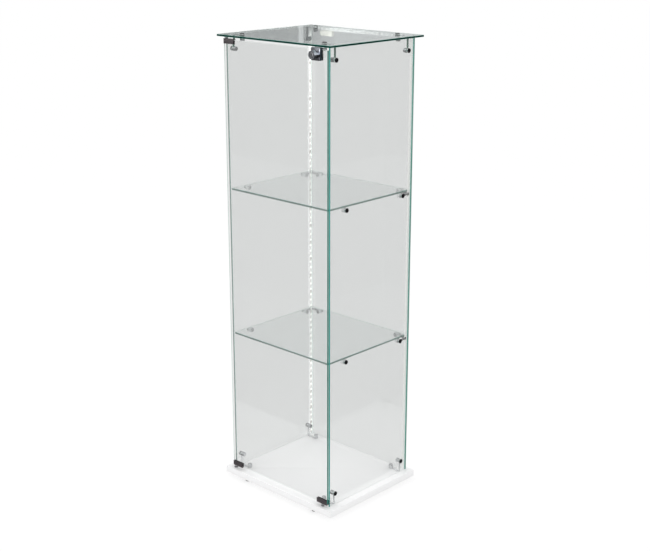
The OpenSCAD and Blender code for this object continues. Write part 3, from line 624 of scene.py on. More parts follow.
GLASS = ClearGlass("float_glass", (0.871, 0.879, 0.876))
TOP_GLASS = ClearGlass("top_float_glass", (0.855, 0.895, 0.893), bending=1.2)
SHELF_GLASS = ClearGlass("shelf_float_glass", (0.875, 0.893, 0.89))
# Each pane's edge is the same green ground edge, made darker or paler pane by pane as painted light and shade.
TOP_EDGE = GlassEdge("top_pane_edge", (0.001, 0.02, 0.015), (0.003, 0.045, 0.035), shine=0.0)
DOOR_EDGE = GlassEdge("door_edge", (0.003, 0.105, 0.078), (0.01, 0.155, 0.12), shine=0.02)
RIGHT_EDGE = GlassEdge("right_pane_edge", (0.03, 0.26, 0.22), (0.05, 0.34, 0.3), (0.2, 0.46, 0.4), shine=0.02)
LEFT_EDGE = GlassEdge("left_pane_edge", (0.3, 0.35, 0.33), (0.38, 0.43, 0.41))
BACK_EDGE = GlassEdge("back_pane_edge", (0.09, 0.22, 0.18), (0.17, 0.32, 0.28))
SHELF_EDGE = GlassEdge("shelf_edge", (0.2, 0.25, 0.235), (0.3, 0.35, 0.33))
# Painted light: an upright pane's ends are made near white, hiding the shade where they meet board and top.
FOOT_EDGE_PAINTED_LIGHT = GlassEdge("foot_edge", (0.85, 0.88, 0.87), (0.88, 0.9, 0.89), (0.88, 0.9, 0.89))
ARRIS = GlassEdge("ground_arris", (0.12, 0.34, 0.28), (0.22, 0.44, 0.38), (0.7, 0.78, 0.75))
CLEAR_PLASTIC = ClearPlastic()
LENS = LampLens()
LAMINATE = Finish("white_laminate", (0.93, 0.93, 0.93), (0.915, 0.915, 0.92), 0.32, 0.08, scale=1400.0, bump=0.012)
# Lit and shaded copies of one chrome: the base strips' pale one is painted light, the top strips' dark teal one painted
# shade and reflection.
BASE_STRIP_PAINTED_LIGHT = plating("pale_chrome", (0.86, 0.87, 0.88), (0.8, 0.81, 0.82), 0.12, rim=0.2)
CHROME = plating("bright_chrome", (0.72, 0.73, 0.74), (0.66, 0.67, 0.68), 0.08, 0.06, rim=0.45)
TOP_STRIP_PAINTED_SHADE = plating("strip_chrome", (0.27, 0.4, 0.34), (0.22, 0.33, 0.28), 0.12, rim=0.5)
# Painted shade for the chrome pieces in the upper back left corner.
CORNER_CHROME_PAINTED_SHADE = plating("shaded_chrome", (0.05, 0.07, 0.07), (0.08, 0.1, 0.1), 0.16, rim=0.5)
# Lit and shaded copies of the lock's chrome: the dark ones are painted shade, the pale front one a painted highlight.
LOCK_CHROME_PAINTED_SHADE = plating("lock_chrome", (0.17, 0.175, 0.19), (0.13, 0.135, 0.15), 0.1, rim=0.95)
LOCK_FRONT_PAINTED_HIGHLIGHT = plating("lock_front", (0.66, 0.69, 0.75), (0.56, 0.59, 0.66), 0.14, 0.1, rim=0.3)
PLUG_CHROME_PAINTED_SHADE = plating("plug_chrome", (0.22, 0.225, 0.235), (0.16, 0.165, 0.17), 0.14, rim=0.95)
# Painted highlight: a pale wall that turns dark all round but for its middle, for the caps' black side walls.
CAP_WALL_PAINTED_HIGHLIGHT = plating("polished_cap_wall", (0.8, 0.8, 0.82), (0.72, 0.72, 0.74), 0.1, 0.05, rim=1.0, falloff=0.14)
# Painted shade: the lock housing's side walls, made near black.
LOCK_SIDE_PAINTED_SHADE = Finish("lock_side", (0.012, 0.02, 0.028), (0.02, 0.03, 0.04), 0.25, bump=0.004, shine=0.3)
STEEL = drawn_metal("bright_steel", (0.5, 0.5, 0.51), (0.42, 0.42, 0.43), 0.24, 0.14, 1.0, 0.004)
CLIP_METAL = drawn_metal("dark_plated_clip", (0.11, 0.095, 0.1), (0.085, 0.075, 0.08), 0.3, 0.12, 0.75, 0.003)
BLACK_METAL = Finish("black_cap", (0.004, 0.004, 0.005), (0.01, 0.01, 0.011), 0.28, 0.15, scale=1200.0, bump=0.006,
                     shine=0.12)
NICKEL = Finish("nickel_magnet", (0.4, 0.39, 0.38), (0.32, 0.31, 0.3), 0.3, 0.1, 1.0, scale=800.0, bump=0.004)
BRASS = Finish("wafer_brass", (0.68, 0.5, 0.22), (0.55, 0.4, 0.17), 0.25, 0.15, 1.0, scale=700.0, bump=0.004)
DARK_PLASTIC = Finish("glide_plastic", (0.035, 0.035, 0.036), (0.055, 0.055, 0.056), 0.5, 0.15, scale=1500.0, bump=0.02)
GREY_PLASTIC = Finish("bush_plastic", (0.3, 0.3, 0.31), (0.26, 0.26, 0.27), 0.42, 0.12, scale=1500.0, bump=0.015)
RUBBER = Finish("black_rubber", (0.016, 0.016, 0.016), (0.028, 0.028, 0.028), 0.7, 0.15, scale=1800.0, bump=0.02)
# Painted light: the tapes and leads glow though they give no light of their own; the left tape's back glows strongest,
# into the glass.
TAPE_PAINTED_GLOW = Finish("white_tape", (0.82, 0.83, 0.83), (0.76, 0.77, 0.77), 0.45, scale=1200.0, glow=1.6)
TOP_TAPE_PAINTED_GLOW = Finish("top_tape", (0.8, 0.81, 0.81), (0.74, 0.75, 0.75), 0.45, scale=1200.0, glow=0.2)
TAPE_BACK_PAINTED_GLOW = Finish("tape_back", (0.84, 0.85, 0.85), (0.8, 0.81, 0.81), 0.5, scale=1200.0, glow=4.0)
LAMP_BODY = Finish("lamp_body", (0.86, 0.86, 0.85), (0.8, 0.8, 0.79), 0.4, scale=1600.0, bump=0.006, glow=0.75)
COPPER_PAD = Finish("tinned_pad", (0.62, 0.56, 0.42), (0.5, 0.46, 0.36), 0.3, 0.15, 1.0, bump=0.006)
RESISTOR = Finish("resistor_black", (0.02, 0.02, 0.022), (0.04, 0.04, 0.042), 0.4, bump=0.006)
CREAM = Finish("cream_plastic", (0.84, 0.82, 0.71), (0.8, 0.78, 0.67), 0.42, scale=1300.0, bump=0.02)
CIRCUIT = Finish("green_lacquer", (0.03, 0.16, 0.07), (0.02, 0.12, 0.05), 0.3, scale=700.0)
BLACK_PLASTIC = Finish("socket_plastic", (0.02, 0.02, 0.021), (0.035, 0.035, 0.036), 0.35, 0.12, scale=1200.0,
                       bump=0.015)


# ---------------------------------------------------------------- meshes


BROAD, EDGE, FOOT, RIM = range(4)  # a pane's material indices
ALONG = 0.99  # an edge or normal this close to an axis runs along it
WELD = 2e-6  # metres between corners that are joined in a CAD mesh
FLAT = 0.4  # degrees between faces that are joined in a CAD mesh
CREASE = 38.0  # degrees from which an edge of a CAD mesh is rounded
SPUN = 1e-6  # metres between corners that are joined in a turned mesh


class Body(Enum):
    """The rigid bodies that pieces ride on."""

    CABINET = "cabinet"
    DOOR = "door"
    PLUG = "lock_plug"


def scaled_cube(mesh: bmesh.types.BMesh, low: Vector, high: Vector) -> list[bmesh.types.BMVert]:
    """Adds a box to a mesh.

    Args:
        mesh: The mesh that the box is added to.
        low: Lowest corner, in metres.
        high: Highest corner, in metres.

    Returns:
        The box's vertices.
    """
    size = high - low
    matrix = Matrix.Translation((low + high) / 2) @ Matrix.Diagonal((*size, 1.0))
    return bmesh.ops.create_cube(mesh, size=1.0, matrix=matrix)["verts"]


def lean(edge: bmesh.types.BMEdge, axis: int) -> float:
    """Returns how far an edge runs along an axis: 1 along it, 0 across it."""
    return abs((edge.verts[0].co - edge.verts[1].co).normalized()[axis])


def edges_of(verts: Sequence[bmesh.types.BMVert]) -> list[bmesh.types.BMEdge]:
    """Returns the edges whose two ends are both among some vertices."""
    chosen = set(verts)
    edges = dict.fromkeys(edge for vert in verts for edge in vert.link_edges)
    return [edge for edge in edges if all(vert in chosen for vert in edge.verts)]


def faces_of(verts: Iterable[bmesh.types.BMVert]) -> list[bmesh.types.BMFace]:
    """Returns the faces that touch some vertices, each once and always in the same order."""
    return list(dict.fromkeys(face for vert in verts for face in vert.link_faces))


def ease(mesh: bmesh.types.BMesh, edges: Sequence[bmesh.types.BMEdge], width: float, segments: int = 2) -> None:
    """Rounds some edges.

    Args:
        mesh: The mesh that holds them.
        edges: The edges to round.
        width: Width of the rounding, in millimetres.
        segments: Number of steps in it.
    """
    bmesh.ops.bevel(mesh, geom=list(edges), offset=width * MM, offset_type="OFFSET", segments=segments,
                    profile=0.5, affect="EDGES", clamp_overlap=True, material=-1)


def sharp_edges(mesh: bmesh.types.BMesh, degrees: float = 30.0) -> list[bmesh.types.BMEdge]:
    """Returns the edges where two faces meet at more than an angle."""
    limit = math.radians(degrees)
    return [e for e in mesh.edges if len(e.link_faces) == 2 and e.calc_face_angle(0.0) > limit]


def turned(mesh: bmesh.types.BMesh, profile: Sequence[tuple[float, float]], seat: Matrix, steps: int) -> None:
    """Adds a turned shape, closed where its outline meets the axis.

    Args:
        mesh: The mesh that the shape is added to.
        profile: Radius and height of each point, in millimetres, from axis to axis.
        seat: Transform from the shape's own axes to the case.
        steps: Number of steps round it.
    """
    verts = [mesh.verts.new(metres(radius, 0.0, height)) for radius, height in profile]
    edges = [mesh.edges.new(pair) for pair in zip(verts, verts[1:])]
    old = set(mesh.verts) - set(verts)
    bmesh.ops.spin(mesh, geom=[*verts, *edges], cent=(0, 0, 0), axis=(0, 0, 1), angle=2 * math.pi, steps=steps,
                   use_merge=True)
    fresh = [v for v in mesh.verts if v not in old]
    bmesh.ops.remove_doubles(mesh, verts=fresh, dist=SPUN)
    fresh = [v for v in mesh.verts if v not in old]
    bmesh.ops.recalc_face_normals(mesh, faces=faces_of(fresh))
    bmesh.ops.transform(mesh, matrix=seat, verts=fresh)


@dataclass(frozen=True)
class Piece:
    """How a finished mesh becomes a piece of the model.

    Attributes:
        name: The piece's name.
        body: The body it rides on.
        slot: The record's material slot; not used.
        nodes: The CAD nodes it stands for.
        smooth: Angle up to which faces shade as one, in degrees.
    """

    name: str
    body: Body
    slot: str
    nodes: tuple[str, ...] = ()
    smooth: float = 35.0

    def place(self, mesh: bmesh.types.BMesh, finishes: Sequence[Look]) -> bpy.types.Object:
        """Makes the object, dresses it and puts it on its body.

        Args:
            mesh: The finished mesh, which is freed.
            finishes: One finish for each material index.

        Returns:
            The new object.
        """
        data = bpy.data.meshes.new(self.name)
        mesh.to_mesh(data)
        mesh.free()
        piece = bpy.data.objects.new(self.name, data)
        bpy.context.scene.collection.objects.link(piece)
        for finish in finishes:
            data.materials.append(finish.material())
        data.shade_smooth()
        data.set_sharp_from_angle(angle=math.radians(self.smooth))
        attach(piece, self.body.value)
        if self.nodes:
            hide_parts(*self.nodes)
        log.info("%s: %d faces on %s", self.name, len(data.polygons), self.body.value)
        return piece


def eased_node(node: str, width: float, segments: int = 2) -> bmesh.types.BMesh:
    """Copies a CAD node's mesh, joins its loose triangles and rounds its sharp edges.

    Args:
        node: The CAD node's name.
        width: Width of the rounding, in millimetres.
        segments: Number of steps in it.

    Returns:
        The finished copy.
    """
    mesh = bmesh.new()
    mesh.from_mesh(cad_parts[node].data)
    bmesh.ops.remove_doubles(mesh, verts=list(mesh.verts), dist=WELD)
    bmesh.ops.dissolve_limit(mesh, angle_limit=math.radians(FLAT), use_dissolve_boundaries=False,
                             verts=list(mesh.verts), edges=list(mesh.edges))
    ease(mesh, sharp_edges(mesh, CREASE), width, segments)
    return mesh


@dataclass(frozen=True)
class EasedPart:
    """A CAD node that keeps its shape and gets rounded edges and a finish.

    Attributes:
        node: The CAD node's name.
        body: The body it rides on.
        slot: The record's material slot.
        finish: Its finish.
        width: Width of the rounding, in millimetres.
        segments: Number of steps in it.
    """

    node: str
    body: Body
    slot: str
    finish: Look
    width: float = 0.2
    segments: int = 2

    def build(self) -> bpy.types.Object:
        """Builds the part and returns its object."""
        mesh = eased_node(self.node, self.width, self.segments)
        return Piece(self.node + "_eased", self.body, self.slot, (self.node,)).place(mesh, (self.finish,))


# ---------------------------------------------------------------- sub-assemblies


@dataclass(frozen=True)
class Pane:
    """One pane of glass with ground edges and drilled holes.

    Attributes:
        node: The CAD node it stands for.
        body: The body it rides on.
        normal: Index of the axis across the pane.
        edge: Finish of its edges.
        face: Finish of its broad faces.
        corner: Radius of its corners, in millimetres.
        holes: Middle of each hole in the two other axes, and its diameter, in millimetres.
        arris: Width ground off its rims, in millimetres.
    """

    node: str
    body: Body
    normal: int
    edge: GlassEdge
    face: ClearGlass = GLASS
    corner: float = 0.0
    holes: tuple[tuple[float, float, float], ...] = ()
    arris: float = 0.5

    def build(self) -> bpy.types.Object:
        """Builds the pane and returns its object."""
        low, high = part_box(self.node)
        mesh = bmesh.new()
        scaled_cube(mesh, Vector(low), Vector(high))
        if self.corner > 0:
            ease(mesh, [edge for edge in mesh.edges if lean(edge, self.normal) > ALONG], self.corner, 6)
        rims = [edge for edge in sharp_edges(mesh) if lean(edge, self.normal) < 0.5]
        ease(mesh, rims, self.arris, 1)
        self._drill(mesh, Vector(low), Vector(high))
        paint_glass(mesh, self.normal)
        piece = Piece(self.node + "_ground", self.body, "glass", (self.node,), 25.0)
        return piece.place(mesh, (self.face, self.edge, FOOT_EDGE_PAINTED_LIGHT, ARRIS))

    def _drill(self, mesh: bmesh.types.BMesh, low: Vector, high: Vector) -> None:
        """Cuts the holes.

        Args:
            mesh: The pane's mesh, which is changed.
            low: Lowest corner of the pane, in metres.
            high: Highest corner of the pane, in metres.
        """
        if not self.holes:
            return
        cutter = bmesh.new()
        others = [axis for axis in range(3) if axis != self.normal]
        turn = (Matrix.Rotation(math.pi / 2, 4, "Y"), Matrix.Rotation(math.pi / 2, 4, "X"), Matrix.Identity(4))
        thickness = (high - low)[self.normal]
        for first, second, diameter in self.holes:
            middle = (low + high) / 2
            middle[others[0]] = first * MM
            middle[others[1]] = second * MM
            radius = diameter / 2 * MM
            bmesh.ops.create_cone(cutter, cap_ends=True, segments=32, radius1=radius, radius2=radius,
                                  depth=thickness * 3, matrix=Matrix.Translation(middle) @ turn[self.normal])
        plate = scratch_object("plate", mesh)
        drill = scratch_object("drill", cutter)
        cutter.free()
        cut = plate.modifiers.new("cut", "BOOLEAN")
        cut.operation = "DIFFERENCE"
        cut.solver = "EXACT"
        cut.object = drill
        result = bpy.data.meshes.new_from_object(plate.evaluated_get(bpy.context.evaluated_depsgraph_get()))
        mesh.clear()
        mesh.from_mesh(result)
        for scrap in (plate, drill):
            data = scrap.data
            bpy.data.objects.remove(scrap)
            bpy.data.meshes.remove(data)
        bpy.data.meshes.remove(result)


def paint_glass(mesh: bmesh.types.BMesh, normal: int) -> None:
    """Gives a pane's broad faces, its edges, its ground rims and an upright pane's ends their own finishes; the ends'
    near-white finish is painted light.

    Args:
        mesh: The pane's mesh, which is changed.
        normal: Index of the axis across the pane.
    """
    for face in mesh.faces:
        across = abs(face.normal[normal])
        if across > ALONG:
            face.material_index = BROAD
        elif normal != 2 and abs(face.normal.z) > 0.5:
            face.material_index = FOOT
        else:
            face.material_index = RIM if across > 0.3 else EDGE


def scratch_object(name: str, mesh: bmesh.types.BMesh) -> bpy.types.Object:
    """Returns a short-lived object that holds a copy of a mesh."""
    data = bpy.data.meshes.new(name)
    mesh.to_mesh(data)
    item = bpy.data.objects.new(name, data)
    bpy.context.scene.collection.objects.link(item)
    return item


@dataclass(frozen=True)
class Glazing:
    """The panes that stand still: sides, back, top and shelves. Sizes are in millimetres.

    Attributes:
        hole: Diameter of a connector's hole.
        bush_hole: Diameter of the top pivot's hole.
        socket_hole: Diameter of the power socket's hole.
        corner: Radius of the corners of the top pane and the shelves.
        top_arris: Width ground off the top pane's rims.
    """

    hole: float = 8.0
    bush_hole: float = 8.2
    socket_hole: float = 10.0
    corner: float = 2.0
    top_arris: float = 0.6

    def build(self) -> None:
        """Builds the panes."""
        ys = SIZES.connector_ys
        shelf_ys = (SIZES.shelf_pin_y, SIZES.shelf_barrel_y)
        side = [(y, z, self.hole) for y in ys for z in (SIZES.base_barrel_z, SIZES.top_barrel_z)]
        side += [(y, z, self.hole) for y in shelf_ys for z in SIZES.pin_zs]
        rear = [(x * SIZES.barrel_x, z, self.hole) for x in (-1, 1) for z in SIZES.pin_zs]
        socket = sum(span("power_socket"), Vector()) / 2
        rear.append((socket.x, socket.z, self.socket_hole))
        top = [(x * SIZES.barrel_x, y, self.hole) for x in (-1, 1) for y in ys]
        bush = sum(span("top_pivot_bush"), Vector()) / 2
        top.append((bush.x, bush.y, self.bush_hole))
        Pane("left_pane", Body.CABINET, 0, LEFT_EDGE, holes=tuple(side)).build()
        Pane("right_pane", Body.CABINET, 0, RIGHT_EDGE, holes=tuple(side)).build()
        Pane("back_pane", Body.CABINET, 1, BACK_EDGE, holes=tuple(rear)).build()
        Pane("top_pane", Body.CABINET, 2, TOP_EDGE, TOP_GLASS, self.corner, tuple(top), self.top_arris).build()
        for node in ("upper_shelf", "lower_shelf"):
            Pane(node, Body.CABINET, 2, SHELF_EDGE, SHELF_GLASS, self.corner).build()


@dataclass(frozen=True)
class Connectors:
    """Corner strips, barrels, cap screws, washers, bushes and sleeves. Sizes are in millimetres.

    Attributes:
        length: Length of a barrel.
        bore: Diameter of its bore.
        floor: Thickness of its closed end.
        rounding: Radius on its closed end.
        groove: Depth of the fine groove near its closed end.
        groove_from: Where the groove starts, from the closed end.
        groove_floor: Width of the groove's floor.
        slope: Width of the groove's flanks and of the bore's countersink.
        rim: Width of the chamfer round the open end.
        steps: Number of steps round a barrel.
        dark_height: How far the painted corner shade reaches down from the top pane.
        wall_from: Height over the top pane's lower face from which a cap's side wall gets a painted highlight.
    """

    length: float = 10.0
    bore: float = 4.1
    floor: float = 2.0
    rounding: float = 1.1
    groove: float = 0.25
    groove_from: float = 2.4
    groove_floor: float = 0.3
    slope: float = 0.2
    rim: float = 0.3
    steps: int = 40
    dark_height: float = 60.0
    wall_from: float = 4.0

    def build(self) -> None:
        """Builds every connector piece."""
        ys = SIZES.connector_ys
        rear_y = (SIZES.shelf_barrel_y,)
        upper = side_seats(ys, (SIZES.top_barrel_z,), SIZES.strip_stack) + top_seats()
        lower = side_seats(ys, (SIZES.base_barrel_z,), SIZES.strip_stack)
        shelf = side_seats(rear_y, SIZES.pin_zs, SIZES.strip_stack) + back_seats(SIZES.strip_stack)
        pins = side_seats((SIZES.shelf_pin_y,), SIZES.pin_zs, SIZES.washer)
        for node, seats in (("top_barrels", upper), ("base_barrels", lower), ("base_bosses", board_seats()),
                            ("shelf_barrels", shelf), ("shelf_pins", pins)):
            self._barrels(node, seats)
        # The corner strips' finishes are painted: shade on the top ones, light on the base ones.
        for node, finish in (("top_corner_strips", TOP_STRIP_PAINTED_SHADE), ("base_corner_strips", BASE_STRIP_PAINTED_LIGHT),
                             ("shelf_corner_strips", CHROME)):
            mesh = eased_node(node, 0.25)
            self._shade_corner(mesh)
            Piece(node + "_eased", Body.CABINET, "chrome", (node,)).place(mesh, (finish, CORNER_CHROME_PAINTED_SHADE))
        self._top_caps()
        for node in ("base_cap_screws", "shelf_cap_screws", "shelf_pin_screws"):
            EasedPart(node, Body.CABINET, "black_metal", BLACK_METAL, 0.2).build()
        EasedPart("base_bolts", Body.CABINET, "steel", STEEL, 0.15).build()
        for node in ("shelf_sleeves", "glass_bushes", "inner_washers"):
            EasedPart(node, Body.CABINET, "clear_plastic", CLEAR_PLASTIC, 0.08, 1).build()

    def _top_caps(self) -> None:
        """Builds the upper cap screws; on those on the top pane the side wall under the black face gets a painted
        highlight, a bright streak down its middle.
        """
        mesh = eased_node("top_cap_screws", 0.2)
        for face in mesh.faces:
            upper = face.calc_center_median().z > (SIZES.top_z + self.wall_from) * MM
            face.material_index = 1 if upper and abs(face.normal.z) < 0.3 else 0
        Piece("top_cap_screws_eased", Body.CABINET, "black_metal", ("top_cap_screws",)).place(
            mesh, (BLACK_METAL, CAP_WALL_PAINTED_HIGHLIGHT))

    def _barrels(self, node: str, seats: Sequence[Seat]) -> None:
        """Builds the barrels that stand for one CAD node.

        Args:
            node: The CAD node's name.
            seats: Where they sit.
        """
        mesh = bmesh.new()
        for seat in seats:
            turned(mesh, self._outline(seat.stack), seat.matrix, self.steps)
        self._shade_corner(mesh)
        Piece(node + "_turned", Body.CABINET, "chrome", (node,)).place(mesh, (CHROME, CORNER_CHROME_PAINTED_SHADE))

    def _shade_corner(self, mesh: bmesh.types.BMesh) -> None:
        """Gives the pieces in the upper back left corner a darker chrome, as painted shade."""
        for face in mesh.faces:
            spot = face.calc_center_median() / MM
            face.material_index = 1 if spot.x < 0 < spot.y and spot.z > SIZES.top_z - self.dark_height else 0

    def _outline(self, stack: float) -> list[tuple[float, float]]:
        """Returns a barrel's outline, from the middle of its closed end round to the floor of its bore."""
        radius = SIZES.barrel / 2
        inner = self.bore / 2
        end = -stack - self.length
        arc = [(radius - self.rounding * (1 - math.sin(a)), end + self.rounding * (1 - math.cos(a)))
               for a in (math.radians(step) for step in range(0, 91, 18))]
        line = end + self.groove_from
        floor = (line + self.slope, line + self.slope + self.groove_floor)
        return [(0.0, end), (radius / 2, end), *arc, (radius, line), (radius - self.groove, floor[0]),
                (radius - self.groove, floor[1]), (radius, floor[1] + self.slope), (radius, -stack - self.rim),
                (radius - self.rim, -stack), (inner + self.slope, -stack), (inner, -stack - self.slope),
                (inner, end + self.floor), (0.0, end + self.floor)]


@dataclass(frozen=True)
class Lights:
    """Tapes, lamps, control box and leads. Sizes are in millimetres.

    Attributes:
        lamp: Side of a lamp.
        lamp_height: Height of a lamp.
        lens: Diameter of its round window.
        pitch: Distance between lamps.
        tape: Thickness of a tape.
        clear: Distance that lamps keep from a connector.
        window: Height that the lens adds to the lamp's body.
        inset: How far the lens's face stays under the lamp's full height.
        taper: How much narrower the lens is at its face, all round.
        easing: Width of the rounding on a lamp.
        mark_every: Number of lamps between two sets of pads.
        pad: Half length, half width and height of a tinned pad.
        pad_at: Distances of the pads from their middle, along and across the tape.
        chip: Lowest and highest corner of a resistor, from the same middle.
    """

    lamp: float = 5.0
    lamp_height: float = 1.5
    lens: float = 3.9
    pitch: float = 1000.0 / 60.0
    tape: float = 0.4
    clear: float = 8.2
    window: float = 0.1
    inset: float = 0.005
    taper: float = 0.2
    easing: float = 0.25
    mark_every: int = 3
    pad: tuple[float, float, float] = (0.9, 0.8, 0.06)
    pad_at: tuple[float, float] = (1.15, 2.6)
    chip: tuple[tuple[float, float, float], tuple[float, float, float]] = ((-4.4, -0.6, 0.0), (-2.6, 0.6, 0.5))

    def build(self) -> None:
        """Builds every piece of the lights."""
        for side, word in ((-1, "left"), (1, "right")):
            low, high = span(word + "_light_tape")
            face_x = side * (SIZES.inner_x - self.tape)
            middle_y = (low.y + high.y) / 2
            turn = Matrix.Rotation(-side * math.pi / 2, 4, "Y")
            spots = self._spots(low.z, high.z, SIZES.pin_zs)
            self._lamps(word + "_lamps", [Matrix.Translation(metres(face_x, middle_y, z)) @ turn for z in spots])
            marked = [z + self.pitch / 2 for z in spots[1:-1:self.mark_every]]
            self._marks(word + "_tape_marks",
                        [Matrix.Translation(metres(face_x, middle_y, z)) @ turn for z in marked])
            self._side_tape(word + "_light_tape", side)
        low, high = span("top_light_tape")
        middle_z = (low.z + high.z) / 2
        turn = Matrix.Rotation(math.pi / 2, 4, "X") @ Matrix.Rotation(math.pi / 2, 4, "Z")
        spots = self._spots(low.x, high.x, ())
        self._lamps("top_lamps", [Matrix.Translation(metres(x, low.y, middle_z)) @ turn for x in spots])
        marked = [x + self.pitch / 2 for x in spots[1::self.mark_every]]
        self._marks("top_tape_marks", [Matrix.Translation(metres(x, low.y, middle_z)) @ turn for x in marked])
        EasedPart("top_light_tape", Body.CABINET, "white_tape", TOP_TAPE_PAINTED_GLOW, 0.08, 1).build()
        # The leads take the tape's glowing finish, painted light.
        EasedPart("light_leads", Body.CABINET, "white_tape", TAPE_PAINTED_GLOW, 0.05, 1).build()
        EasedPart("control_case", Body.CABINET, "cream_plastic", CREAM, 0.5, 3).build()
        EasedPart("control_back", Body.CABINET, "cream_plastic", CREAM, 0.2).build()
        EasedPart("control_circuit", Body.CABINET, "green_circuit", CIRCUIT, 0.08, 1).build()
        EasedPart("power_socket", Body.CABINET, "black_plastic", BLACK_PLASTIC, 0.15).build()

    @staticmethod
    def _side_tape(node: str, side: int) -> None:
        """Builds a side pane's tape, which glows as painted light; the left one's back glows strongest, painted light
        shining into the glass.

        Args:
            node: The CAD node's name.
            side: -1 on the left pane, 1 on the right one.
        """
        mesh = eased_node(node, 0.08, 1)
        for face in mesh.faces:
            face.material_index = 1 if face.normal.x * side > 0.9 else 0
        Piece(node + "_eased", Body.CABINET, "white_tape", (node,)).place(mesh, (TAPE_PAINTED_GLOW, TAPE_BACK_PAINTED_GLOW if side < 0 else TAPE_PAINTED_GLOW))

    def _spots(self, low: float, high: float, pins: Sequence[float]) -> list[float]:
        """Returns the lamps' places along a tape.

        Args:
            low: The tape's start.
            high: The tape's end.
            pins: Places of the connectors that lamps stand off.

        Returns:
            The middle of each lamp.
        """
        spots = [low + (index + 0.5) * self.pitch for index in range(int((high - low) / self.pitch))]
        return [spot for spot in spots if all(abs(spot - pin) > self.clear for pin in pins)]

    def _lamps(self, node: str, places: Sequence[Matrix]) -> None:
        """Builds the lamps that stand for one CAD node.

        Args:
            node: The CAD node's name.
            places: Their places, with +Z off the tape.
        """
        mesh = bmesh.new()
        half = self.lamp / 2
        body = self.lamp_height - self.window
        radius = self.lens / 2
        for place in places:
            verts = scaled_cube(mesh, metres(-half, -half, 0), metres(half, half, body))
            top = [e for e in edges_of(verts) if all(v.co.z > body / 2 * MM for v in e.verts)]
            before = set(mesh.verts) - set(verts)
            ease(mesh, top, self.easing, 1)
            cone = bmesh.ops.create_cone(mesh, cap_ends=True, segments=16, radius1=radius * MM,
                                         radius2=(radius - self.taper) * MM,
                                         depth=(self.window - self.inset) * 2 * MM,
                                         matrix=Matrix.Translation(metres(0, 0, body)))
            for face in faces_of(cone["verts"]):
                face.material_index = 1
            fresh = [v for v in mesh.verts if v not in before]
            bmesh.ops.transform(mesh, matrix=place, verts=fresh)
        Piece(node + "_lensed", Body.CABINET, "lamp", (node,)).place(mesh, (LAMP_BODY, LENS))

    def _marks(self, name: str, places: Sequence[Matrix]) -> None:
        """Builds the tinned pads and resistors between lamps.

        Args:
            name: The piece's name.
            places: Their places, with +Z off the tape and +Y across it.
        """
        mesh = bmesh.new()
        for place in places:
            before = set(mesh.verts)
            for along in (-self.pad_at[0], self.pad_at[0]):
                for across in (-self.pad_at[1], self.pad_at[1]):
                    scaled_cube(mesh, metres(along - self.pad[0], across - self.pad[1], 0),
                                metres(along + self.pad[0], across + self.pad[1], self.pad[2]))
            chip = scaled_cube(mesh, metres(*self.chip[0]), metres(*self.chip[1]))
            for face in faces_of(chip):
                face.material_index = 1
            bmesh.ops.transform(mesh, matrix=place, verts=[v for v in mesh.verts if v not in before])
        Piece(name, Body.CABINET, "white_tape").place(mesh, (COPPER_PAD, RESISTOR))


@dataclass(frozen=True)
class Base:
    """The board, its glides and their screws. Sizes are in millimetres.

    Attributes:
        rounding: Width of the rounding on the board's rims.
    """

    rounding: float = 0.5

    def build(self) -> None:
        """Builds the base."""
        EasedPart("base_board", Body.CABINET, "white_board", LAMINATE, self.rounding, 3).build()
        EasedPart("glides", Body.CABINET, "dark_plastic", DARK_PLASTIC, 0.3, 2).build()
        EasedPart("glide_screws", Body.CABINET, "steel", STEEL, 0.1, 1).build()


@dataclass(frozen=True)
class Pivots:
    """The case's half of the hinges, the catch and the lock keeper. Sizes are in millimetres.

    Attributes:
        rounding: Width of the rounding on small metal parts.
    """

    rounding: float = 0.2

    def build(self) -> None:
        """Builds the pieces."""
        for node in ("top_pivot_bush", "bottom_pivot_bush"):
            EasedPart(node, Body.CABINET, "grey_plastic", GREY_PLASTIC, self.rounding).build()
        EasedPart("catch_cup", Body.CABINET, "steel", STEEL, self.rounding).build()
        EasedPart("catch_magnet", Body.CABINET, "magnet", NICKEL, self.rounding).build()
        EasedPart("lock_keeper", Body.CABINET, "steel", STEEL, self.rounding).build()


@dataclass(frozen=True)
class Door:
    """The door pane with its clips and pins. Sizes are in millimetres.

    Attributes:
        clip_rounding: Width of the rounding on a clip.
    """

    clip_rounding: float = 0.25

    def build(self) -> None:
        """Builds the door."""
        mesh = eased_node("door_pane", 0.5, 1)
        paint_glass(mesh, 1)
        Piece("door_pane_ground", Body.DOOR, "glass", ("door_pane",), 25.0).place(
            mesh, (GLASS, DOOR_EDGE, FOOT_EDGE_PAINTED_LIGHT, ARRIS))
        for node in ("top_hinge_clip", "bottom_hinge_clip", "catch_clip"):
            EasedPart(node, Body.DOOR, "dark_clip", CLIP_METAL, self.clip_rounding, 3).build()
        EasedPart("clip_liners", Body.DOOR, "rubber", RUBBER, 0.05, 1).build()
        for node in ("clip_screws", "top_pivot_pin", "bottom_pivot_pin", "catch_foot"):
            EasedPart(node, Body.DOOR, "steel", STEEL, 0.15).build()


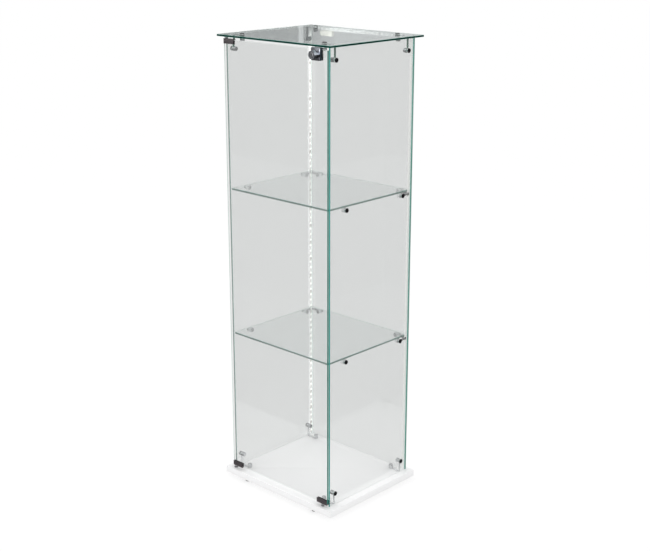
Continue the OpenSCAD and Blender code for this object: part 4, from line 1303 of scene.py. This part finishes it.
@dataclass(frozen=True)
class Lock:
    """The lock on the door and the plug that turns in it. Sizes are in millimetres.

    Attributes:
        rounding: Width of the rounding on its chromed parts.
        skin: Depth up to which a face belongs to the housing's outside.
        nose: Radius of the round nose about the plug.
    """

    rounding: float = 0.35
    skin: float = 0.5
    nose: float = 10.6

    def build(self) -> None:
        """Builds the lock."""
        self._body()
        EasedPart("lock_back_plate", Body.DOOR, "chrome", CHROME, 0.2).build()
        EasedPart("lock_gaskets", Body.DOOR, "rubber", RUBBER, 0.05, 1).build()
        EasedPart("lock_plate_screws", Body.DOOR, "steel", STEEL, 0.1, 1).build()
        EasedPart("lock_plug", Body.PLUG, "chrome", PLUG_CHROME_PAINTED_SHADE, 0.2).build()
        EasedPart("lock_wafers", Body.PLUG, "brass", BRASS, 0.06, 1).build()
        EasedPart("lock_circlip", Body.PLUG, "steel", STEEL, 0.08, 1).build()
        EasedPart("lock_cam", Body.PLUG, "steel", STEEL, 0.25).build()
        EasedPart("lock_cam_nut", Body.PLUG, "steel", STEEL, 0.2).build()

    def _body(self) -> None:
        """Builds the body with painted light and shade: the upper front and upper nose wall get a painted highlight,
        the side walls and the rest painted shade.
        """
        mesh = eased_node("lock_body", self.rounding, 3)
        low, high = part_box("lock_body")
        plug_low, plug_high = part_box("lock_plug")
        axis = Vector(((plug_low[0] + plug_high[0]) / 2, (plug_low[2] + plug_high[2]) / 2))
        # The cut at the plug's middle parts the painted highlight above from the painted shade below.
        bmesh.ops.bisect_plane(mesh, geom=[*mesh.verts, *mesh.edges, *mesh.faces], dist=1e-6,
                               plane_co=(0.0, 0.0, axis.y), plane_no=(0.0, 0.0, 1.0))
        for face in mesh.faces:
            spot = face.calc_center_median()
            outer = min(spot.x - low[0], high[0] - spot.x, spot.z - low[2], high[2] - spot.z) < self.skin * MM
            nose = (Vector((spot.x, spot.z)) - axis).length < self.nose * MM
            wall = abs(face.normal.y) < 0.5
            if outer and wall:
                face.material_index = 1
            elif spot.z > axis.y and ((nose and wall) or (not nose and face.normal.y < -0.5)):
                face.material_index = 2
        Piece("lock_body_eased", Body.DOOR, "chrome", ("lock_body",)).place(
            mesh, (LOCK_CHROME_PAINTED_SHADE, LOCK_SIDE_PAINTED_SHADE, LOCK_FRONT_PAINTED_HIGHLIGHT))


# ---------------------------------------------------------------- camera, floor and light


@dataclass(frozen=True)
class SoftLight:
    """A square soft light that can't be seen through glass.

    Attributes:
        name: The light's name.
        at: Its place, in metres.
        size: Its side, in metres.
        power: Its power, in watts.
        aim: The point it faces, in metres.
        mirrored: Whether it shows in reflections.
    """

    name: str
    at: tuple[float, float, float]
    size: float
    power: float
    aim: tuple[float, float, float] = (0.0, 0.0, 0.5)
    mirrored: bool = True

    def build(self) -> None:
        """Adds the light."""
        data = bpy.data.lights.new(self.name, "AREA")
        data.size = self.size
        data.energy = self.power
        light = bpy.data.objects.new(self.name, data)
        light.location = self.at
        light.rotation_euler = (Vector(self.aim) - Vector(self.at)).to_track_quat("-Z", "Y").to_euler()
        light.visible_transmission = False
        light.visible_glossy = self.mirrored
        bpy.context.scene.collection.objects.link(light)


@dataclass(frozen=True)
class Card:
    """A distant grey card that shows only in reflections: dark at its left but for one pale band.

    Attributes:
        dark: Its colour at the left.
        light: Its colour at the right.
        pale: Colour of the band.
        slope: How fast it turns from dark to light, per metre.
        start: Share of the light colour in its middle.
        band_at: Place of the band, in metres from the card's middle.
        band_half: Half the band's width, in metres.
        band_slope: How fast the band fades at its sides, per metre.
        distance: Distance from the case's middle, in metres.
        height: Height of its middle, in metres.
        size: Its width and height, in metres.
    """

    dark: Colour = (0.05, 0.056, 0.056)
    light: Colour = (0.38, 0.39, 0.395)
    pale: Colour = (0.42, 0.44, 0.445)
    slope: float = 3.4
    start: float = 0.38
    band_at: float = -0.169
    band_half: float = 0.031
    band_slope: float = 60.0
    distance: float = 12.0
    height: float = 2.17
    size: tuple[float, float] = (4.0, 0.9)

    def build(self, eye: Vector) -> None:
        """Adds the card behind the case, facing a point.

        Args:
            eye: The point, in metres.
        """
        sheet, shader = start_material("grey_card")
        parts = sheet.add("ShaderNodeSeparateXYZ")
        sheet.link(sheet.add("ShaderNodeTexCoord").outputs["Object"], parts.inputs["Vector"])
        across = parts.outputs["X"]
        spread = sheet.maths("ADD", sheet.maths("MULTIPLY", across, self.slope), self.start, clamp=True)
        off = sheet.maths("ABSOLUTE", sheet.maths("SUBTRACT", across, self.band_at), 0.0)
        band = sheet.maths("MULTIPLY", sheet.maths("SUBTRACT", self.band_half, off), self.band_slope, clamp=True)
        shown = sheet.mix(band, sheet.mix(spread, self.dark, self.light), self.pale)
        sheet.link(shown, shader.inputs["Emission Color"])
        shader.inputs["Emission Strength"].default_value = 1.0
        shader.inputs["Base Color"].default_value = (0.0, 0.0, 0.0, 1.0)
        shader.inputs["Specular IOR Level"].default_value = 0.0
        away = (-eye.xy).normalized()
        middle = Vector((*(eye.xy + away * self.distance), self.height))
        turn = Vector((-away.x, -away.y, 0.0)).to_track_quat("Z", "Y").to_matrix().to_4x4()
        card = stage_sheet("grey_card", *self.size, Matrix.Translation(middle) @ turn, "grey_card")
        card.visible_camera = False
        card.visible_diffuse = False
        card.visible_transmission = False
        card.visible_shadow = False


@dataclass(frozen=True)
class Studio:
    """The camera, the white floor and the soft light.

    Attributes:
        camera_at: The camera's place, in metres.
        camera_turn: Its rotation, in degrees.
        lens: Focal length for a 36 mm wide sensor.
        fill: Strength of the world's light on the object.
        floor_tone: How grey the floor is to the lights.
        floor_size: Its side, in metres.
        shown: Strength of the floor's own light where it is seen.
        bounce: Strength of the light that it sends back to the object.
        mirror_loss: How much dimmer the floor is where glass or metal mirrors it, from 0 to 1.
        lights: The soft lights; the last two stand for the lit tapes inside the case.
    """

    camera_at: tuple[float, float, float] = (2.1927, -2.2918, 1.5792)
    camera_turn: tuple[float, float, float] = (72.926, 0.0, 43.42)
    lens: float = 67.38
    fill: float = 0.97
    floor_tone: float = 0.3
    floor_size: float = 120.0
    shown: float = 0.71
    bounce: float = 0.55
    mirror_loss: float = 0.9
    lights: tuple[SoftLight, ...] = (
        SoftLight("key_light", (-1.4, -3.0, 1.3), 1.8, 12.0),
        SoftLight("side_light", (2.8, -0.6, 1.6), 1.6, 4.8),
        SoftLight("tape_light_low", (0.0, 0.0, 0.4), 0.3, 0.26, (0.0, 0.0, 0.0), False),
        SoftLight("tape_light_high", (-0.05, 0.02, 1.235), 0.12, 0.312, (-0.118, 0.155, 1.225), False))

    def build(self) -> None:
        """Sets up the stage."""
        self._camera()
        self._world()
        self._floor()
        Card().build(Vector(self.camera_at))
        for light in self.lights:
            light.build()
        bpy.context.scene.view_settings.view_transform = "Standard"

    def _camera(self) -> None:
        """Adds the camera at the photograph's viewing angle."""
        data = bpy.data.cameras.new("camera")
        data.sensor_width = 36.0
        data.lens = self.lens
        camera = bpy.data.objects.new("camera", data)
        camera.location = self.camera_at
        camera.rotation_euler = [math.radians(turn) for turn in self.camera_turn]
        bpy.context.scene.collection.objects.link(camera)
        bpy.context.scene.camera = camera

    def _world(self) -> None:
        """Makes a world that shows white and lights softly."""
        world = bpy.data.worlds.new("soft_white_room")
        world.use_nodes = True
        world.node_tree.nodes.clear()
        sheet = NodeSheet(world.node_tree)
        light = sheet.add("ShaderNodeBackground")
        output = sheet.add("ShaderNodeOutputWorld")
        light.inputs["Color"].default_value = (*WHITE, 1.0)
        extra = sheet.maths("MULTIPLY", sheet.seen(), 1.0 - self.fill)
        sheet.link(sheet.maths("ADD", extra, self.fill), light.inputs["Strength"])
        sheet.link(light.outputs["Background"], output.inputs["Surface"])
        bpy.context.scene.world = world

    def _floor(self) -> None:
        """Adds a wide white floor that keeps the object's shadow."""
        sheet, shader = start_material("white_floor")
        shader.inputs["Base Color"].default_value = (*[self.floor_tone] * 3, 1.0)
        shader.inputs["Roughness"].default_value = 0.9
        shader.inputs["Specular IOR Level"].default_value = 0.0
        shader.inputs["Emission Color"].default_value = (*WHITE, 1.0)
        extra = sheet.maths("MULTIPLY", sheet.seen(), self.shown - self.bounce)
        rays = sheet.add("ShaderNodeLightPath")
        mirrored = sheet.maths("GREATER_THAN", rays.outputs["Glossy Depth"], 0.5)
        share = sheet.maths("SUBTRACT", 1.0, sheet.maths("MULTIPLY", mirrored, self.mirror_loss))
        light = sheet.maths("MULTIPLY", sheet.maths("ADD", extra, self.bounce), share)
        sheet.link(light, shader.inputs["Emission Strength"])
        stage_sheet("floor", self.floor_size, self.floor_size, Matrix.Identity(4), "white_floor")


def stage_sheet(name: str, width: float, depth: float, place: Matrix, material: str) -> bpy.types.Object:
    """Adds a flat sheet that belongs to the stage.

    Args:
        name: The sheet's name.
        width: Its size along its own X, in metres.
        depth: Its size along its own Y, in metres.
        place: Where it stands.
        material: Name of its material.

    Returns:
        The sheet's object.
    """
    mesh = bmesh.new()
    bmesh.ops.create_grid(mesh, x_segments=1, y_segments=1, size=0.5, matrix=Matrix.Diagonal((width, depth, 1.0, 1.0)))
    data = bpy.data.meshes.new(name)
    mesh.to_mesh(data)
    mesh.free()
    data.materials.append(bpy.data.materials[material])
    sheet = bpy.data.objects.new(name, data)
    sheet.matrix_world = place
    bpy.context.scene.collection.objects.link(sheet)
    return sheet


def main() -> None:
    """Builds the stage and every sub-assembly in order."""
    logging.basicConfig(level=logging.INFO, format="%(name)s: %(message)s")
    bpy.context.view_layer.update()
    Studio().build()
    Base().build()
    Glazing().build()
    Connectors().build()
    Pivots().build()
    Lights().build()
    Door().build()
    Lock().build()


if __name__ == "__main__":
    main()
